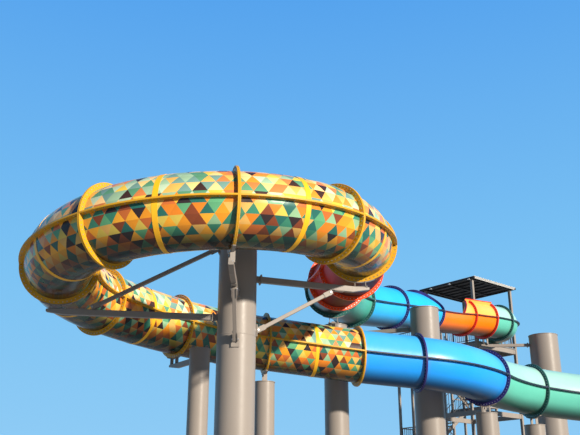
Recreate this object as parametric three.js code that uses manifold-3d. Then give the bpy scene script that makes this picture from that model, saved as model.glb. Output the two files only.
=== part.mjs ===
// Water slide tower: an enclosed spiral tube slide on a steel column, fed by a tube from a roofed
// start deck with its stair, and led away by a lower tube run on smaller columns.
// Millimetres, +Z up. The origin is the centre of the main column's base plate, on the ground.
// +Y points from the spiral's front to the start deck, +X to the right.

import * as THREE from 'three';
import * as BufferGeometryUtils from 'three/addons/utils/BufferGeometryUtils.js';
import Module from 'manifold-3d';

const wasm = await Module();
wasm.setup();

// Tube sections: two half shells bolted at side seams, with a bolting flange at both ends.
const SHELL_RADIUS = 700;
const FLANGE_RADIUS = 800;
const SHELL_THICKNESS = 14;
const RING_THICKNESS = 22;
const SEAM_THICKNESS = 18;
const HALF_GAP = 0.2;
const FACETS_PER_HALF = 8;
const DEGREES_PER_STEP = 16;

// Spiral: its radius, and the place, height and flow heading of the ring where it begins.
const COIL_RADIUS = 3120;
const COIL_FALL = 0.066;
const COIL_START = { x: 2540, y: 430, z: 6980, heading: 261 };
const COIL_TURNS = [34, 39, 43, 46, 42];

// Lower run after the spiral: length, turn (left is positive) and fall of each section.
const LOWER_LEGS = [
  { length: 2420, turn: -20, fall: 170 },
  { length: 2480, turn: -28, fall: 210 },
  { length: 2500, turn: 0, fall: 230 },
  { length: 1700, turn: -3, fall: 110 },
  { length: 2500, turn: 45, fall: 190 },
  { length: 2300, turn: -30, fall: 170 },
  { length: 2300, turn: -15, fall: 160 },
];

// Inlet run, walked against the flow from the spiral up to the start deck.
const INLET_LEGS = [
  { length: 2700, turn: 9, fall: -300 },
  { length: 1930, turn: 6, fall: -220 },
  { length: 1450, turn: -16, fall: -160 },
  { length: 2630, turn: -19.5, fall: -280 },
  { length: 3110, turn: -6, fall: -510 },
  { length: 3460, turn: 1, fall: -540 },
  { length: 3070, turn: -14, fall: -395 },
  { length: 1580, turn: -7, fall: -120 },
  { length: 1020, turn: 5.5, fall: -40 },
  { length: 1450, turn: 87, fall: -45 },
];

// Pieces that rest on each other keep this gap.
const JOINT_GAP = 0.4;

// Columns: a pipe on a square base plate, under a cap plate a little wider than the pipe.
const BASE_PLATE_THICKNESS = 40;
const BASE_PLATE_MARGIN = 260;
const CAP_THICKNESS = 20;
const CAP_MARGIN = 14;
const MAIN_COLUMN = { x: 0, y: 0, radius: 381, height: 7300 };
const INLET_COLUMN = { x: 2850, y: 7350, radius: 340, height: 6820 };
const COIL_BACK_COLUMN = { x: -850, y: 3300, radius: 240, height: 5300 };
const BLUE_COLUMN = { x: 5650, y: 8000, radius: 430, height: 7530 };
const HOOD_COLUMN = { x: 12900, y: 17330, radius: 590, height: 8800 };
const UNDER_COLUMN_RADIUS = 300;
const LOWER_RUN_COLUMN_RADIUS = 260;

// Arms run from a column to a level head under a ring, whose underside tapers to the tip. Rise is
// what an arm gains on its way out. A strut or tie meets its arm part of the way to the head.
const ARM_WIDTH = 100;
const ARM_DEPTH = 120;
const ARM_TIP_DEPTH = 55;
const ARM_HEAD = 180;
const ARM_LAP = 5;
const BRACE_SIDE = 75;
const EAST_ARM = { saddleHeight: 113, rise: -98 };
const FRONT_ARM = { saddleHeight: 205, rise: 0 };
const WEST_ARM = { saddleHeight: 90, rise: 177 };
const EAST_STRUT = { height: 4807, part: 0.88 };
const FRONT_STRUT = { height: 4351, part: 0.66 };
const WEST_TIE = { height: 6924, part: 0.895 };

// Saddles: a band under the tube, on two stub plates and a sole plate. Its band follows the tube's
// facets as far as the middle of the second one on each side.
const SADDLE_BAND = 16;
const SADDLE_WIDTH = 110;
const SADDLE_CLEARANCE = 0.8;
const STUB_WIDTH = 90;
const STUB_OFFSET = 110;
const SOLE_HALF_LENGTH = 150;
const SADDLE_HEIGHT = 150;
const HOOD_SADDLE_HEIGHT = 240;
const COLUMN_SADDLE_HEIGHT = 200;

// Start deck, roof and stair, in the deck's own frame: u along its mouth side, v away from the mouth.
const DECK_ANGLE = 37;
const DECK_WIDTH = 3000;
const DECK_DEPTH = 2800;
const DECK_THICKNESS = 60;
const MOUTH_GAP = 0.2;
const MOUTH_HALF = 870;
const MOUTH_SHIFT = -300;
const ROOF_SIDE = 3200;
const ROOF_THICKNESS = 110;
const ROOF_CLEAR_HEIGHT = 2800;
const POST_SIDE = 120;
const BEAM_DEPTH = 200;
const BEAM_WIDTH = 80;
const BEAM_SPACING = 2900;
const FOOT_MARGIN = 30;
const FOOT_INSET = 5;
const FOOT_THICKNESS = 25;
const RAIL_HEIGHT = 1100;
const RAIL_SIDE = 42;
const RAIL_POST_SIDE = 52;
const RAIL_BAY = 1200;
const STAIR_WIDTH = 1000;
const STAIR_FLIGHTS = 4;
const RISERS_PER_FLIGHT = 12;
const TREAD_GOING = 260;
const TREAD_THICKNESS = 40;
const TREAD_GAP = 3;
const LANDING_LENGTH = 1100;
const LANDING_THICKNESS = 50;
const LANDING_BEAM_WIDTH = 60;
const LANDING_BEAM_DEPTH = 250;
const LANDING_BEAM_INSET = 5;
const LANE_GAP = 120;
const TOWER_POST_SIDE = 100;
const TOWER_POST_INSET = 35;
const STRINGER_WIDTH = 30;
const STRINGER_DEPTH = 220;
const STRINGER_INSET = 30;
const STRINGER_OVERRUN = 100;
const STAIR_RAIL_SIDE = 40;
const STAIR_RAIL_END = 120;
const STAIR_RAIL_LIFT = 1000;
const BALUSTER_LENGTH = 36;
const BALUSTER_WIDTH = 24;
const BALUSTER_BAYS = 3;

const colours = {
  patterned: '#e0a23c',
  red: '#a8281c',
  teal: '#5fa796',
  blue: '#1fa3d8',
  orange: '#e86a1c',
  steel: '#b3aaa3',
  darkSteel: '#4a4d52',
  deck: '#8d9194',
  roof: '#55504c',
};

function material(colour, roughness, metalness) {
  return new THREE.MeshStandardMaterial({ color: colour, roughness, metalness });
}

const materials = {
  patterned: material(colours.patterned, 0.25, 0),
  red: material(colours.red, 0.25, 0),
  teal: material(colours.teal, 0.25, 0),
  blue: material(colours.blue, 0.25, 0),
  orange: material(colours.orange, 0.25, 0),
  steel: material(colours.steel, 0.5, 0.3),
  darkSteel: material(colours.darkSteel, 0.5, 0.4),
  deck: material(colours.deck, 0.7, 0.2),
  roof: material(colours.roof, 0.6, 0.3),
};

const tower = new THREE.Group();

function addMesh(name, geometry, look) {
  const mesh = new THREE.Mesh(geometry, look);
  mesh.name = name;
  tower.add(mesh);
}

// Solids and joins

// Points at one place are merged, and the flat triangles that this leaves are dropped.
function toSolid(geometry) {
  const bare = geometry.clone();
  bare.deleteAttribute('normal');
  bare.deleteAttribute('uv');
  const merged = BufferGeometryUtils.mergeVertices(bare, 1e-3);
  const corners = Array.from(merged.index.array);
  const triangles = [];
  for (let i = 0; i < corners.length; i += 3) {
    const [a, b, c] = corners.slice(i, i + 3);
    if (a !== b && b !== c && c !== a) {
      triangles.push(a, b, c);
    }
  }
  return new wasm.Manifold(new wasm.Mesh({
    numProp: 3,
    vertProperties: Float32Array.from(merged.attributes.position.array),
    triVerts: Uint32Array.from(triangles),
  }));
}

function toGeometry(solid) {
  const mesh = solid.getMesh();
  const geometry = new THREE.BufferGeometry();
  geometry.setAttribute('position', new THREE.BufferAttribute(mesh.vertProperties, 3));
  geometry.setIndex(new THREE.BufferAttribute(mesh.triVerts, 1));
  return geometry;
}

function join(solids) {
  return solids.reduce((whole, piece) => whole.add(piece));
}

// A closed solid between rows of points that all follow the same outline. Both halves of a tube are
// split along the same diagonals, so that their seam faces match.
function loft(outline, rows, crossed = false) {
  const count = outline.length;
  const positions = rows.flat().flatMap((point) => point.toArray());
  const index = [];
  for (let row = 0; row + 1 < rows.length; row += 1) {
    for (let i = 0; i < count; i += 1) {
      const a = row * count + i;
      const b = row * count + (i + 1) % count;
      if (crossed) {
        index.push(a, a + count, b, b, a + count, b + count);
      } else {
        index.push(a, b + count, b, a, a + count, b + count);
      }
    }
  }
  const last = (rows.length - 1) * count;
  for (const [a, b, c] of THREE.ShapeUtils.triangulateShape(outline, [])) {
    index.push(a, b, c, last + a, last + c, last + b);
  }
  const geometry = new THREE.BufferGeometry();
  geometry.setAttribute('position', new THREE.Float32BufferAttribute(positions, 3));
  geometry.setIndex(index);
  return toSolid(geometry);
}

function boxSolid(width, depth, height, matrix) {
  return toSolid(new THREE.BoxGeometry(width, depth, height).applyMatrix4(matrix));
}

function at(x, y, z, turn = 0) {
  const matrix = new THREE.Matrix4().makeRotationZ(THREE.MathUtils.degToRad(turn));
  return matrix.setPosition(x, y, z);
}

// A straight bar from one point to another, its depth upright where it can be. Where it tapers,
// its top stays straight and its underside rises to the tip.
function bar(from, to, width, depth, tipDepth = depth) {
  const forward = new THREE.Vector3().subVectors(to, from).normalize();
  const side = new THREE.Vector3().crossVectors(forward, new THREE.Vector3(0, 0, 1)).normalize();
  const up = new THREE.Vector3().crossVectors(side, forward);
  const corners = [[-1, -1], [1, -1], [1, 1], [-1, 1]];
  const section = (centre, height) => corners.map(([h, v]) => centre.clone()
    .addScaledVector(side, h * width / 2)
    .addScaledVector(up, (depth - height + v * height) / 2));
  const outline = corners.map(([h, v]) => new THREE.Vector2(h, v));
  return loft(outline, [section(from, depth), section(to, tipDepth)]);
}

const PIPE_SIDES = 24;

function pipe(x, y, z0, z1, radius) {
  const geometry = new THREE.CylinderGeometry(radius, radius, z1 - z0, PIPE_SIDES);
  geometry.rotateX(Math.PI / 2);
  geometry.translate(x, y, (z0 + z1) / 2);
  return toSolid(geometry);
}

// Path of the slide

function station(x, y, z, heading) {
  const angle = THREE.MathUtils.degToRad(heading);
  return {
    centre: new THREE.Vector3(x, y, z),
    heading,
    forward: new THREE.Vector3(Math.cos(angle), Math.sin(angle), 0),
    side: new THREE.Vector3(Math.sin(angle), -Math.cos(angle), 0),
  };
}

// The station a given part of the way along one leg: an even curve with an even fall.
function along(start, leg, part) {
  const turn = THREE.MathUtils.degToRad(leg.turn * part);
  const distance = leg.length * part;
  const chord = Math.abs(turn) < 1e-6 ? distance : distance * Math.sin(turn / 2) / (turn / 2);
  const angle = THREE.MathUtils.degToRad(start.heading) + turn / 2;
  return station(
    start.centre.x + chord * Math.cos(angle),
    start.centre.y + chord * Math.sin(angle),
    start.centre.z - leg.fall * part,
    start.heading + leg.turn * part,
  );
}

function walk(start, legs) {
  const rings = [start];
  for (const leg of legs) {
    rings.push(along(rings[rings.length - 1], leg, 1));
  }
  return rings;
}

const coilLegs = COIL_TURNS.map((turn) => {
  const length = COIL_RADIUS * THREE.MathUtils.degToRad(turn);
  return { length, turn: -turn, fall: length * COIL_FALL };
});
const coilStart = station(COIL_START.x, COIL_START.y, COIL_START.z, COIL_START.heading);
const flowLegs = [...coilLegs, ...LOWER_LEGS];
const flowRings = walk(coilStart, flowLegs);
const inletStart = station(COIL_START.x, COIL_START.y, COIL_START.z, COIL_START.heading - 180);
const inletRings = walk(inletStart, INLET_LEGS);

// Tube sections

function arc(radius, count) {
  const points = [];
  for (let i = 1; i < count; i += 1) {
    const angle = Math.PI * i / count;
    points.push([radius * Math.cos(angle), radius * Math.sin(angle)]);
  }
  return points;
}

const innerRadius = SHELL_RADIUS - SHELL_THICKNESS;
const seamTop = HALF_GAP + SEAM_THICKNESS;
const shellFoot = Math.sqrt(SHELL_RADIUS ** 2 - seamTop ** 2);

// Outline across one half tube. The shell and its bolting rings share it point for point: only the
// outer arc differs, and both keep the seam flanges.
function halfOutline(outerRadius, outerFoot) {
  return [
    [innerRadius, HALF_GAP],
    [FLANGE_RADIUS, HALF_GAP],
    [FLANGE_RADIUS, seamTop],
    [outerFoot, seamTop],
    ...arc(outerRadius, FACETS_PER_HALF),
    [-outerFoot, seamTop],
    [-FLANGE_RADIUS, seamTop],
    [-FLANGE_RADIUS, HALF_GAP],
    [-innerRadius, HALF_GAP],
    ...arc(innerRadius, FACETS_PER_HALF).reverse(),
  ];
}

const RING_FOOT_INSET = 6;
const shellOutline = halfOutline(SHELL_RADIUS, shellFoot);
const ringOutline = halfOutline(FLANGE_RADIUS, FLANGE_RADIUS - RING_FOOT_INSET);

// One half of a run of neighbouring sections: half is 1 for the upper shells and -1 for the lower ones.
function halfRun(rings, legs, first, count, half) {
  const end = first + count;
  const rows = [];
  const addRow = (outline, place) => {
    const shape = outline.map(([h, v]) => [h, v * half]);
    const ordered = half > 0 ? shape : shape.reverse();
    rows.push(ordered.map(([h, v]) => place.centre.clone()
      .addScaledVector(place.side, h)
      .add(new THREE.Vector3(0, 0, v))));
  };
  for (let i = first; i < end; i += 1) {
    const leg = legs[i];
    const ring = RING_THICKNESS / leg.length;
    const gap = HALF_GAP / leg.length;
    const steps = Math.max(1, Math.ceil(Math.abs(leg.turn) / DEGREES_PER_STEP));
    if (i === first) {
      addRow(ringOutline, along(rings[i], leg, gap));
    }
    addRow(ringOutline, along(rings[i], leg, ring));
    for (let k = 0; k <= steps; k += 1) {
      addRow(shellOutline, along(rings[i], leg, ring + (1 - 2 * ring) * k / steps));
    }
    addRow(ringOutline, along(rings[i], leg, 1 - ring));
    if (i === end - 1) {
      addRow(ringOutline, along(rings[i], leg, 1 - gap));
    }
  }
  const flat = shellOutline.map(([h, v]) => new THREE.Vector2(h, v * half));
  return loft(half > 0 ? flat : flat.reverse(), rows, half < 0);
}

// The tube runs: neighbouring sections of one colour, each with its first leg and leg count.
const tubeRuns = [
  { name: 'start_tube', rings: inletRings, legs: INLET_LEGS, first: 8, count: 2, look: 'teal' },
  { name: 'teal_inlet', rings: inletRings, legs: INLET_LEGS, first: 2, count: 2, look: 'teal' },
  { name: 'red_inlet', rings: inletRings, legs: INLET_LEGS, first: 0, count: 2, look: 'red' },
  { name: 'coil_east', rings: flowRings, legs: flowLegs, first: 0, count: 2, look: 'patterned' },
  { name: 'coil_west', rings: flowRings, legs: flowLegs, first: 2, count: 2, look: 'patterned' },
  { name: 'coil_back', rings: flowRings, legs: flowLegs, first: 4, count: 2, look: 'patterned' },
  { name: 'lower_run', rings: flowRings, legs: flowLegs, first: 6, count: 2, look: 'patterned' },
  { name: 'blue_outlet', rings: flowRings, legs: flowLegs, first: 8, count: 2, look: 'blue' },
  { name: 'teal_outlet', rings: flowRings, legs: flowLegs, first: 10, count: 2, look: 'teal' },
];

for (const run of tubeRuns) {
  const upper = halfRun(run.rings, run.legs, run.first, run.count, 1);
  const lower = halfRun(run.rings, run.legs, run.first, run.count, -1);
  addMesh(`${run.name}_upper`, toGeometry(upper), materials[run.look]);
  addMesh(`${run.name}_lower`, toGeometry(lower), materials[run.look]);
}

// Keeps what lies behind a plane that leans along the tube: lean is its foot's lead over its top.
const CUTTER_SIDE = 6000;
function cutAhead(solid, place, forward, lean) {
  const cutter = new THREE.BoxGeometry(CUTTER_SIDE, CUTTER_SIDE, CUTTER_SIDE);
  cutter.translate(CUTTER_SIDE / 2, 0, 0);
  cutter.rotateY(-Math.atan2(lean, SHELL_RADIUS));
  cutter.rotateZ(Math.atan2(forward.y, forward.x));
  cutter.translate(place.centre.x, place.centre.y, place.centre.z);
  return solid.subtract(toSolid(cutter));
}

// The blue inlet's first cover slopes down to the open flume.
const BLUE_LEG = 4;
const COVER_LEAN = 1400;
const COVER_END = 0.985;
const blueUpper = halfRun(inletRings, INLET_LEGS, BLUE_LEG, 2, 1);
const coverEnd = along(inletRings[BLUE_LEG + 1], INLET_LEGS[BLUE_LEG + 1], COVER_END);
const cover = cutAhead(blueUpper, coverEnd, coverEnd.forward, COVER_LEAN);
addMesh('blue_inlet_upper', toGeometry(cover), materials.blue);
addMesh('blue_inlet_lower', toGeometry(halfRun(inletRings, INLET_LEGS, BLUE_LEG, 2, -1)), materials.blue);

// The orange flume is open on top, with a hood over its upstream end.
const FLUME_LEG = 6;
const HOOD_LEAN = 1230;
const HOOD_START = 0.56;
const hoodUpper = halfRun(inletRings, INLET_LEGS, FLUME_LEG, 2, 1);
const hoodFront = along(inletRings[FLUME_LEG], INLET_LEGS[FLUME_LEG], HOOD_START);
const hood = cutAhead(hoodUpper, hoodFront, hoodFront.forward.clone().negate(), HOOD_LEAN);
addMesh('orange_hood', toGeometry(hood), materials.orange);
addMesh('orange_flume', toGeometry(halfRun(inletRings, INLET_LEGS, FLUME_LEG, 2, -1)), materials.orange);

// Columns, saddles and arms

function column({ x, y, radius, height }) {
  const plate = 2 * (radius + BASE_PLATE_MARGIN);
  return join([
    pipe(x, y, 0, height, radius),
    boxSolid(plate, plate, BASE_PLATE_THICKNESS, at(x, y, BASE_PLATE_THICKNESS / 2)),
    pipe(x, y, height - CAP_THICKNESS, height, radius + CAP_MARGIN),
  ]);
}

// Fall per length of the tube at one of its rings: the mean of the two sections that meet there.
function slopeAt(legs, ring) {
  const slope = (leg) => leg.fall / leg.length;
  return (slope(legs[Math.max(ring - 1, 0)]) + slope(legs[ring])) / 2;
}

// Band under a bolted ring, standing on a sole plate whose top is at soleTop.
function saddle(place, slope, soleTop) {
  const facet = Math.PI / FACETS_PER_HALF;
  const inner = FLANGE_RADIUS + SADDLE_CLEARANCE;
  const reachPoints = [[-1.5, Math.cos(facet / 2)], [-1, 1], [0, 1], [1, 1], [1.5, Math.cos(facet / 2)]];
  const across = (size) => reachPoints.map(([facets, share]) => [
    size * share * Math.sin(facets * facet),
    -size * share * Math.cos(facets * facet),
  ]);
  const outline = [...across(inner + SADDLE_BAND), ...across(inner).reverse()];
  const row = (shift) => outline.map(([h, v]) => place.centre.clone()
    .addScaledVector(place.side, h)
    .addScaledVector(place.forward, shift)
    .add(new THREE.Vector3(0, 0, v - slope * shift)));
  const flat = outline.map(([h, v]) => new THREE.Vector2(h, v));
  const band = loft(flat, [row(-SADDLE_WIDTH / 2), row(SADDLE_WIDTH / 2)]);
  const { x, y, z } = place.centre;
  const low = soleTop - SADDLE_BAND / 2;
  const sole = boxSolid(SADDLE_WIDTH, 2 * SOLE_HALF_LENGTH, SADDLE_BAND, at(x, y, low, place.heading));
  const top = z - Math.sqrt(inner ** 2 - STUB_OFFSET ** 2);
  const stubs = [-STUB_OFFSET, STUB_OFFSET].map((offset) => {
    const foot = place.centre.clone().addScaledVector(place.side, offset);
    const middle = at(foot.x, foot.y, (top + low) / 2, place.heading);
    return boxSolid(STUB_WIDTH, SADDLE_BAND, top - low, middle);
  });
  return join([band, sole, ...stubs]);
}

// The place a given distance beyond another one, as seen from a column.
function reach(post, place, extra) {
  const direction = new THREE.Vector3(place.centre.x - post.x, place.centre.y - post.y, 0);
  const length = direction.length() + extra;
  return new THREE.Vector3(post.x, post.y, 0).addScaledVector(direction.normalize(), length);
}

// The line that an arm's middle follows from the column's axis to the bend before its head.
function armLine(post, place, top, rise) {
  const middle = top - ARM_DEPTH / 2;
  const root = new THREE.Vector3(post.x, post.y, middle - rise);
  return { root, bend: reach(post, place, -ARM_HEAD).setZ(middle) };
}

// A box arm from a column's face to a ring. Growth widens and deepens it, to cut room for it.
function arm(post, place, top, rise, growth = 0) {
  const { root, bend } = armLine(post, place, top, rise);
  const tip = reach(post, place, ARM_HEAD).setZ(bend.z);
  const lap = bend.clone().addScaledVector(bend.clone().sub(root).normalize(), ARM_LAP);
  const beam = join([
    bar(root, lap, ARM_WIDTH + growth, ARM_DEPTH + growth),
    bar(bend, tip, ARM_WIDTH + growth, ARM_DEPTH + growth, ARM_TIP_DEPTH + growth),
  ]);
  return beam.subtract(pipe(post.x, post.y, 0, post.height, post.radius + JOINT_GAP));
}

// A strut or tie from a height on a column to a point part of the way along an arm.
function brace(post, place, top, rise, { height, part }) {
  const { root, bend } = armLine(post, place, top, rise);
  const beam = bar(root.clone().setZ(height), root.clone().lerp(bend, part), BRACE_SIDE, BRACE_SIDE);
  const grownArm = arm(post, place, top, rise, 2 * JOINT_GAP);
  return beam.subtract(pipe(post.x, post.y, 0, post.height, post.radius + JOINT_GAP)).subtract(grownArm);
}

// A saddle on an arm of the main column, with the brace that shares its load.
function bracket(name, place, slope, { saddleHeight, rise }, support) {
  const soleTop = place.centre.z - FLANGE_RADIUS - saddleHeight + SADDLE_BAND;
  const top = soleTop - SADDLE_BAND - JOINT_GAP;
  addMesh(`${name}_saddle`, toGeometry(saddle(place, slope, soleTop)), materials.steel);
  addMesh(`${name}_arm`, toGeometry(arm(MAIN_COLUMN, place, top, rise)), materials.steel);
  return brace(MAIN_COLUMN, place, top, rise, support);
}

addMesh('main_column', toGeometry(column(MAIN_COLUMN)), materials.steel);

const EAST_RING = 0;
const eastSlope = (slopeAt(flowLegs, EAST_RING) - slopeAt(INLET_LEGS, 0)) / 2;
const eastStrut = bracket('east', flowRings[EAST_RING], eastSlope, EAST_ARM, EAST_STRUT);
addMesh('east_strut', toGeometry(eastStrut), materials.steel);

const FRONT_RING = 2;
const frontSlope = slopeAt(flowLegs, FRONT_RING);
const frontStrut = bracket('front', flowRings[FRONT_RING], frontSlope, FRONT_ARM, FRONT_STRUT);
addMesh('front_strut', toGeometry(frontStrut), materials.steel);

const WEST_RING = 4;
const westSlope = slopeAt(flowLegs, WEST_RING);
const westTie = bracket('west', flowRings[WEST_RING], westSlope, WEST_ARM, WEST_TIE);
addMesh('west_tie', toGeometry(westTie), materials.steel);

// A column straight under a ring, with the saddle's sole plate on its cap.
function columnUnder(name, rings, legs, ring, radius) {
  const place = rings[ring];
  const height = place.centre.z - FLANGE_RADIUS - COLUMN_SADDLE_HEIGHT;
  const post = { x: place.centre.x, y: place.centre.y, radius, height };
  const seat = saddle(place, slopeAt(legs, ring), height + SADDLE_BAND / 2);
  addMesh(`${name}_column`, toGeometry(join([column(post), seat])), materials.steel);
}

// A column beside the tube, with a level arm to a saddle under a ring.
function columnBeside(name, post, rings, legs, ring, saddleHeight = SADDLE_HEIGHT) {
  const place = rings[ring];
  const top = place.centre.z - FLANGE_RADIUS - saddleHeight;
  const seat = saddle(place, slopeAt(legs, ring), top + SADDLE_BAND / 2);
  addMesh(`${name}_column`, toGeometry(column(post)), materials.steel);
  addMesh(`${name}_arm`, toGeometry(join([arm(post, place, top, 0), seat])), materials.steel);
}

columnUnder('lower_run', flowRings, flowLegs, 7, LOWER_RUN_COLUMN_RADIUS);
columnUnder('outlet', flowRings, flowLegs, 10, UNDER_COLUMN_RADIUS);
columnUnder('outlet_end', flowRings, flowLegs, 11, UNDER_COLUMN_RADIUS);
columnUnder('cover', inletRings, INLET_LEGS, 6, UNDER_COLUMN_RADIUS);
columnBeside('inlet', INLET_COLUMN, inletRings, INLET_LEGS, 3);
columnBeside('blue', BLUE_COLUMN, inletRings, INLET_LEGS, 4);
columnBeside('coil_back', COIL_BACK_COLUMN, flowRings, flowLegs, 6);
columnBeside('hood', HOOD_COLUMN, inletRings, INLET_LEGS, 8, HOOD_SADDLE_HEIGHT);

// Start deck frame: u to the right along the mouth side, v inwards. The origin is on the ground, in
// the middle of the mouth side, and the mouth stands to its left.
const mouth = inletRings[inletRings.length - 1];
const deckTop = Math.round(mouth.centre.z - SHELL_RADIUS);
const deckFrame = new THREE.Matrix4()
  .makeTranslation(mouth.centre.x, mouth.centre.y, 0)
  .multiply(new THREE.Matrix4().makeRotationZ(THREE.MathUtils.degToRad(DECK_ANGLE)))
  .multiply(new THREE.Matrix4().makeTranslation(-MOUTH_SHIFT, 0, 0));

function deckBox(u0, u1, v0, v1, z0, z1) {
  const place = new THREE.Matrix4().makeTranslation((u0 + u1) / 2, (v0 + v1) / 2, (z0 + z1) / 2);
  return boxSolid(u1 - u0, v1 - v0, z1 - z0, place.premultiply(deckFrame));
}

function deckBar(from, to, width, depth) {
  const place = ([u, v, z]) => new THREE.Vector3(u, v, z).applyMatrix4(deckFrame);
  return bar(place(from), place(to), width, depth);
}

const deckLeft = -DECK_WIDTH / 2;
const deckRight = DECK_WIDTH / 2;
const deckFront = MOUTH_GAP;
const deckBack = MOUTH_GAP + DECK_DEPTH;
const roofUnder = deckTop + ROOF_CLEAR_HEIGHT;
const postHalf = POST_SIDE / 2;

// A square post on a foot plate that is longer than it along u and a little narrower along v.
function postWithFoot(u, v, side, top) {
  const footLength = side / 2 + FOOT_MARGIN;
  const footWidth = side / 2 - FOOT_INSET;
  return join([
    deckBox(u - side / 2, u + side / 2, v - side / 2, v + side / 2, 0, top),
    deckBox(u - footLength, u + footLength, v - footWidth, v + footWidth, 0, FOOT_THICKNESS),
  ]);
}

// Four posts from the ground to the roof stand at the deck's corners, tied by beams below it.
const postPlaces = [
  [deckLeft + postHalf, deckFront + postHalf],
  [deckRight - postHalf, deckFront + postHalf],
  [deckRight - postHalf, deckBack - postHalf],
  [deckLeft + postHalf, deckBack - postHalf],
];
const beamTop = deckTop - DECK_THICKNESS - JOINT_GAP;
const beamInset = (POST_SIDE - BEAM_WIDTH) / 2;
const framePieces = postPlaces.map(([u, v]) => postWithFoot(u, v, POST_SIDE, roofUnder - JOINT_GAP));
for (const top of [beamTop, beamTop - BEAM_SPACING, beamTop - 2 * BEAM_SPACING]) {
  const low = top - BEAM_DEPTH;
  for (const v of [deckFront + beamInset, deckBack - beamInset - BEAM_WIDTH]) {
    framePieces.push(deckBox(deckLeft + postHalf, deckRight - postHalf, v, v + BEAM_WIDTH, low, top));
  }
  for (const u of [deckLeft + beamInset, deckRight - beamInset - BEAM_WIDTH]) {
    framePieces.push(deckBox(u, u + BEAM_WIDTH, deckFront + postHalf, deckBack - postHalf, low, top));
  }
}
addMesh('deck_frame', toGeometry(join(framePieces)), materials.steel);

// The deck floor is notched round the posts.
const notchHalf = postHalf + JOINT_GAP;
const notches = postPlaces.map(([u, v]) => deckBox(
  u - notchHalf,
  u + notchHalf,
  v - notchHalf,
  v + notchHalf,
  deckTop - 2 * DECK_THICKNESS,
  deckTop + DECK_THICKNESS,
));
const floor = deckBox(deckLeft, deckRight, deckFront, deckBack, deckTop - DECK_THICKNESS, deckTop);
addMesh('deck_floor', toGeometry(floor.subtract(join(notches))), materials.deck);

// The roof overhangs the deck on every side.
const roofMiddle = (deckFront + deckBack) / 2;
const roofHalf = ROOF_SIDE / 2;
addMesh('deck_roof', toGeometry(deckBox(
  -roofHalf,
  roofHalf,
  roofMiddle - roofHalf,
  roofMiddle + roofHalf,
  roofUnder,
  roofUnder + ROOF_THICKNESS,
)), materials.roof);

// A railing: upright posts on the floor with a top rail and a knee rail between their middles.
function railing(points) {
  const pieces = [];
  const side = RAIL_POST_SIDE / 2;
  const top = deckTop + RAIL_HEIGHT;
  const addPost = (u, v) => {
    pieces.push(deckBox(u - side, u + side, v - side, v + side, deckTop + JOINT_GAP, top));
  };
  addPost(...points[0]);
  for (let i = 0; i + 1 < points.length; i += 1) {
    const [u0, v0] = points[i];
    const [u1, v1] = points[i + 1];
    for (const z of [top - RAIL_SIDE, deckTop + RAIL_HEIGHT / 2]) {
      pieces.push(deckBar([u0, v0, z], [u1, v1, z], RAIL_SIDE, RAIL_SIDE));
    }
    const bays = Math.max(1, Math.round(Math.hypot(u1 - u0, v1 - v0) / RAIL_BAY));
    for (let k = 1; k <= bays; k += 1) {
      addPost(u0 + (u1 - u0) * k / bays, v0 + (v1 - v0) * k / bays);
    }
  }
  return join(pieces);
}

// Railings run inside the posts; the tube's mouth and the stair's head stay open.
const railInset = POST_SIDE + RAIL_SIDE;
const railLeft = deckLeft + railInset;
const railRight = deckRight - railInset;
const railFront = deckFront + railInset;
const railBack = deckBack - railInset;
const stairLeft = deckLeft + POST_SIDE + LANDING_LENGTH;
const leftRailing = railing([[MOUTH_SHIFT - MOUTH_HALF, railFront], [railLeft, railFront], [railLeft, railBack]]);
const rightRailing = railing([
  [MOUTH_SHIFT + MOUTH_HALF, railFront],
  [railRight, railFront],
  [railRight, railBack],
  [stairLeft, railBack],
]);
addMesh('deck_railing_left', toGeometry(leftRailing), materials.darkSteel);
addMesh('deck_railing_right', toGeometry(rightRailing), materials.darkSteel);

// Switchback stair behind the deck: two lanes between a left and a right landing tower.
const flightRise = deckTop / STAIR_FLIGHTS;
const riser = flightRise / RISERS_PER_FLIGHT;
const stairRight = stairLeft + (RISERS_PER_FLIGHT - 1) * TREAD_GOING;
const laneFront = deckBack + JOINT_GAP;
const laneBack = laneFront + 2 * STAIR_WIDTH + LANE_GAP;

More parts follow.
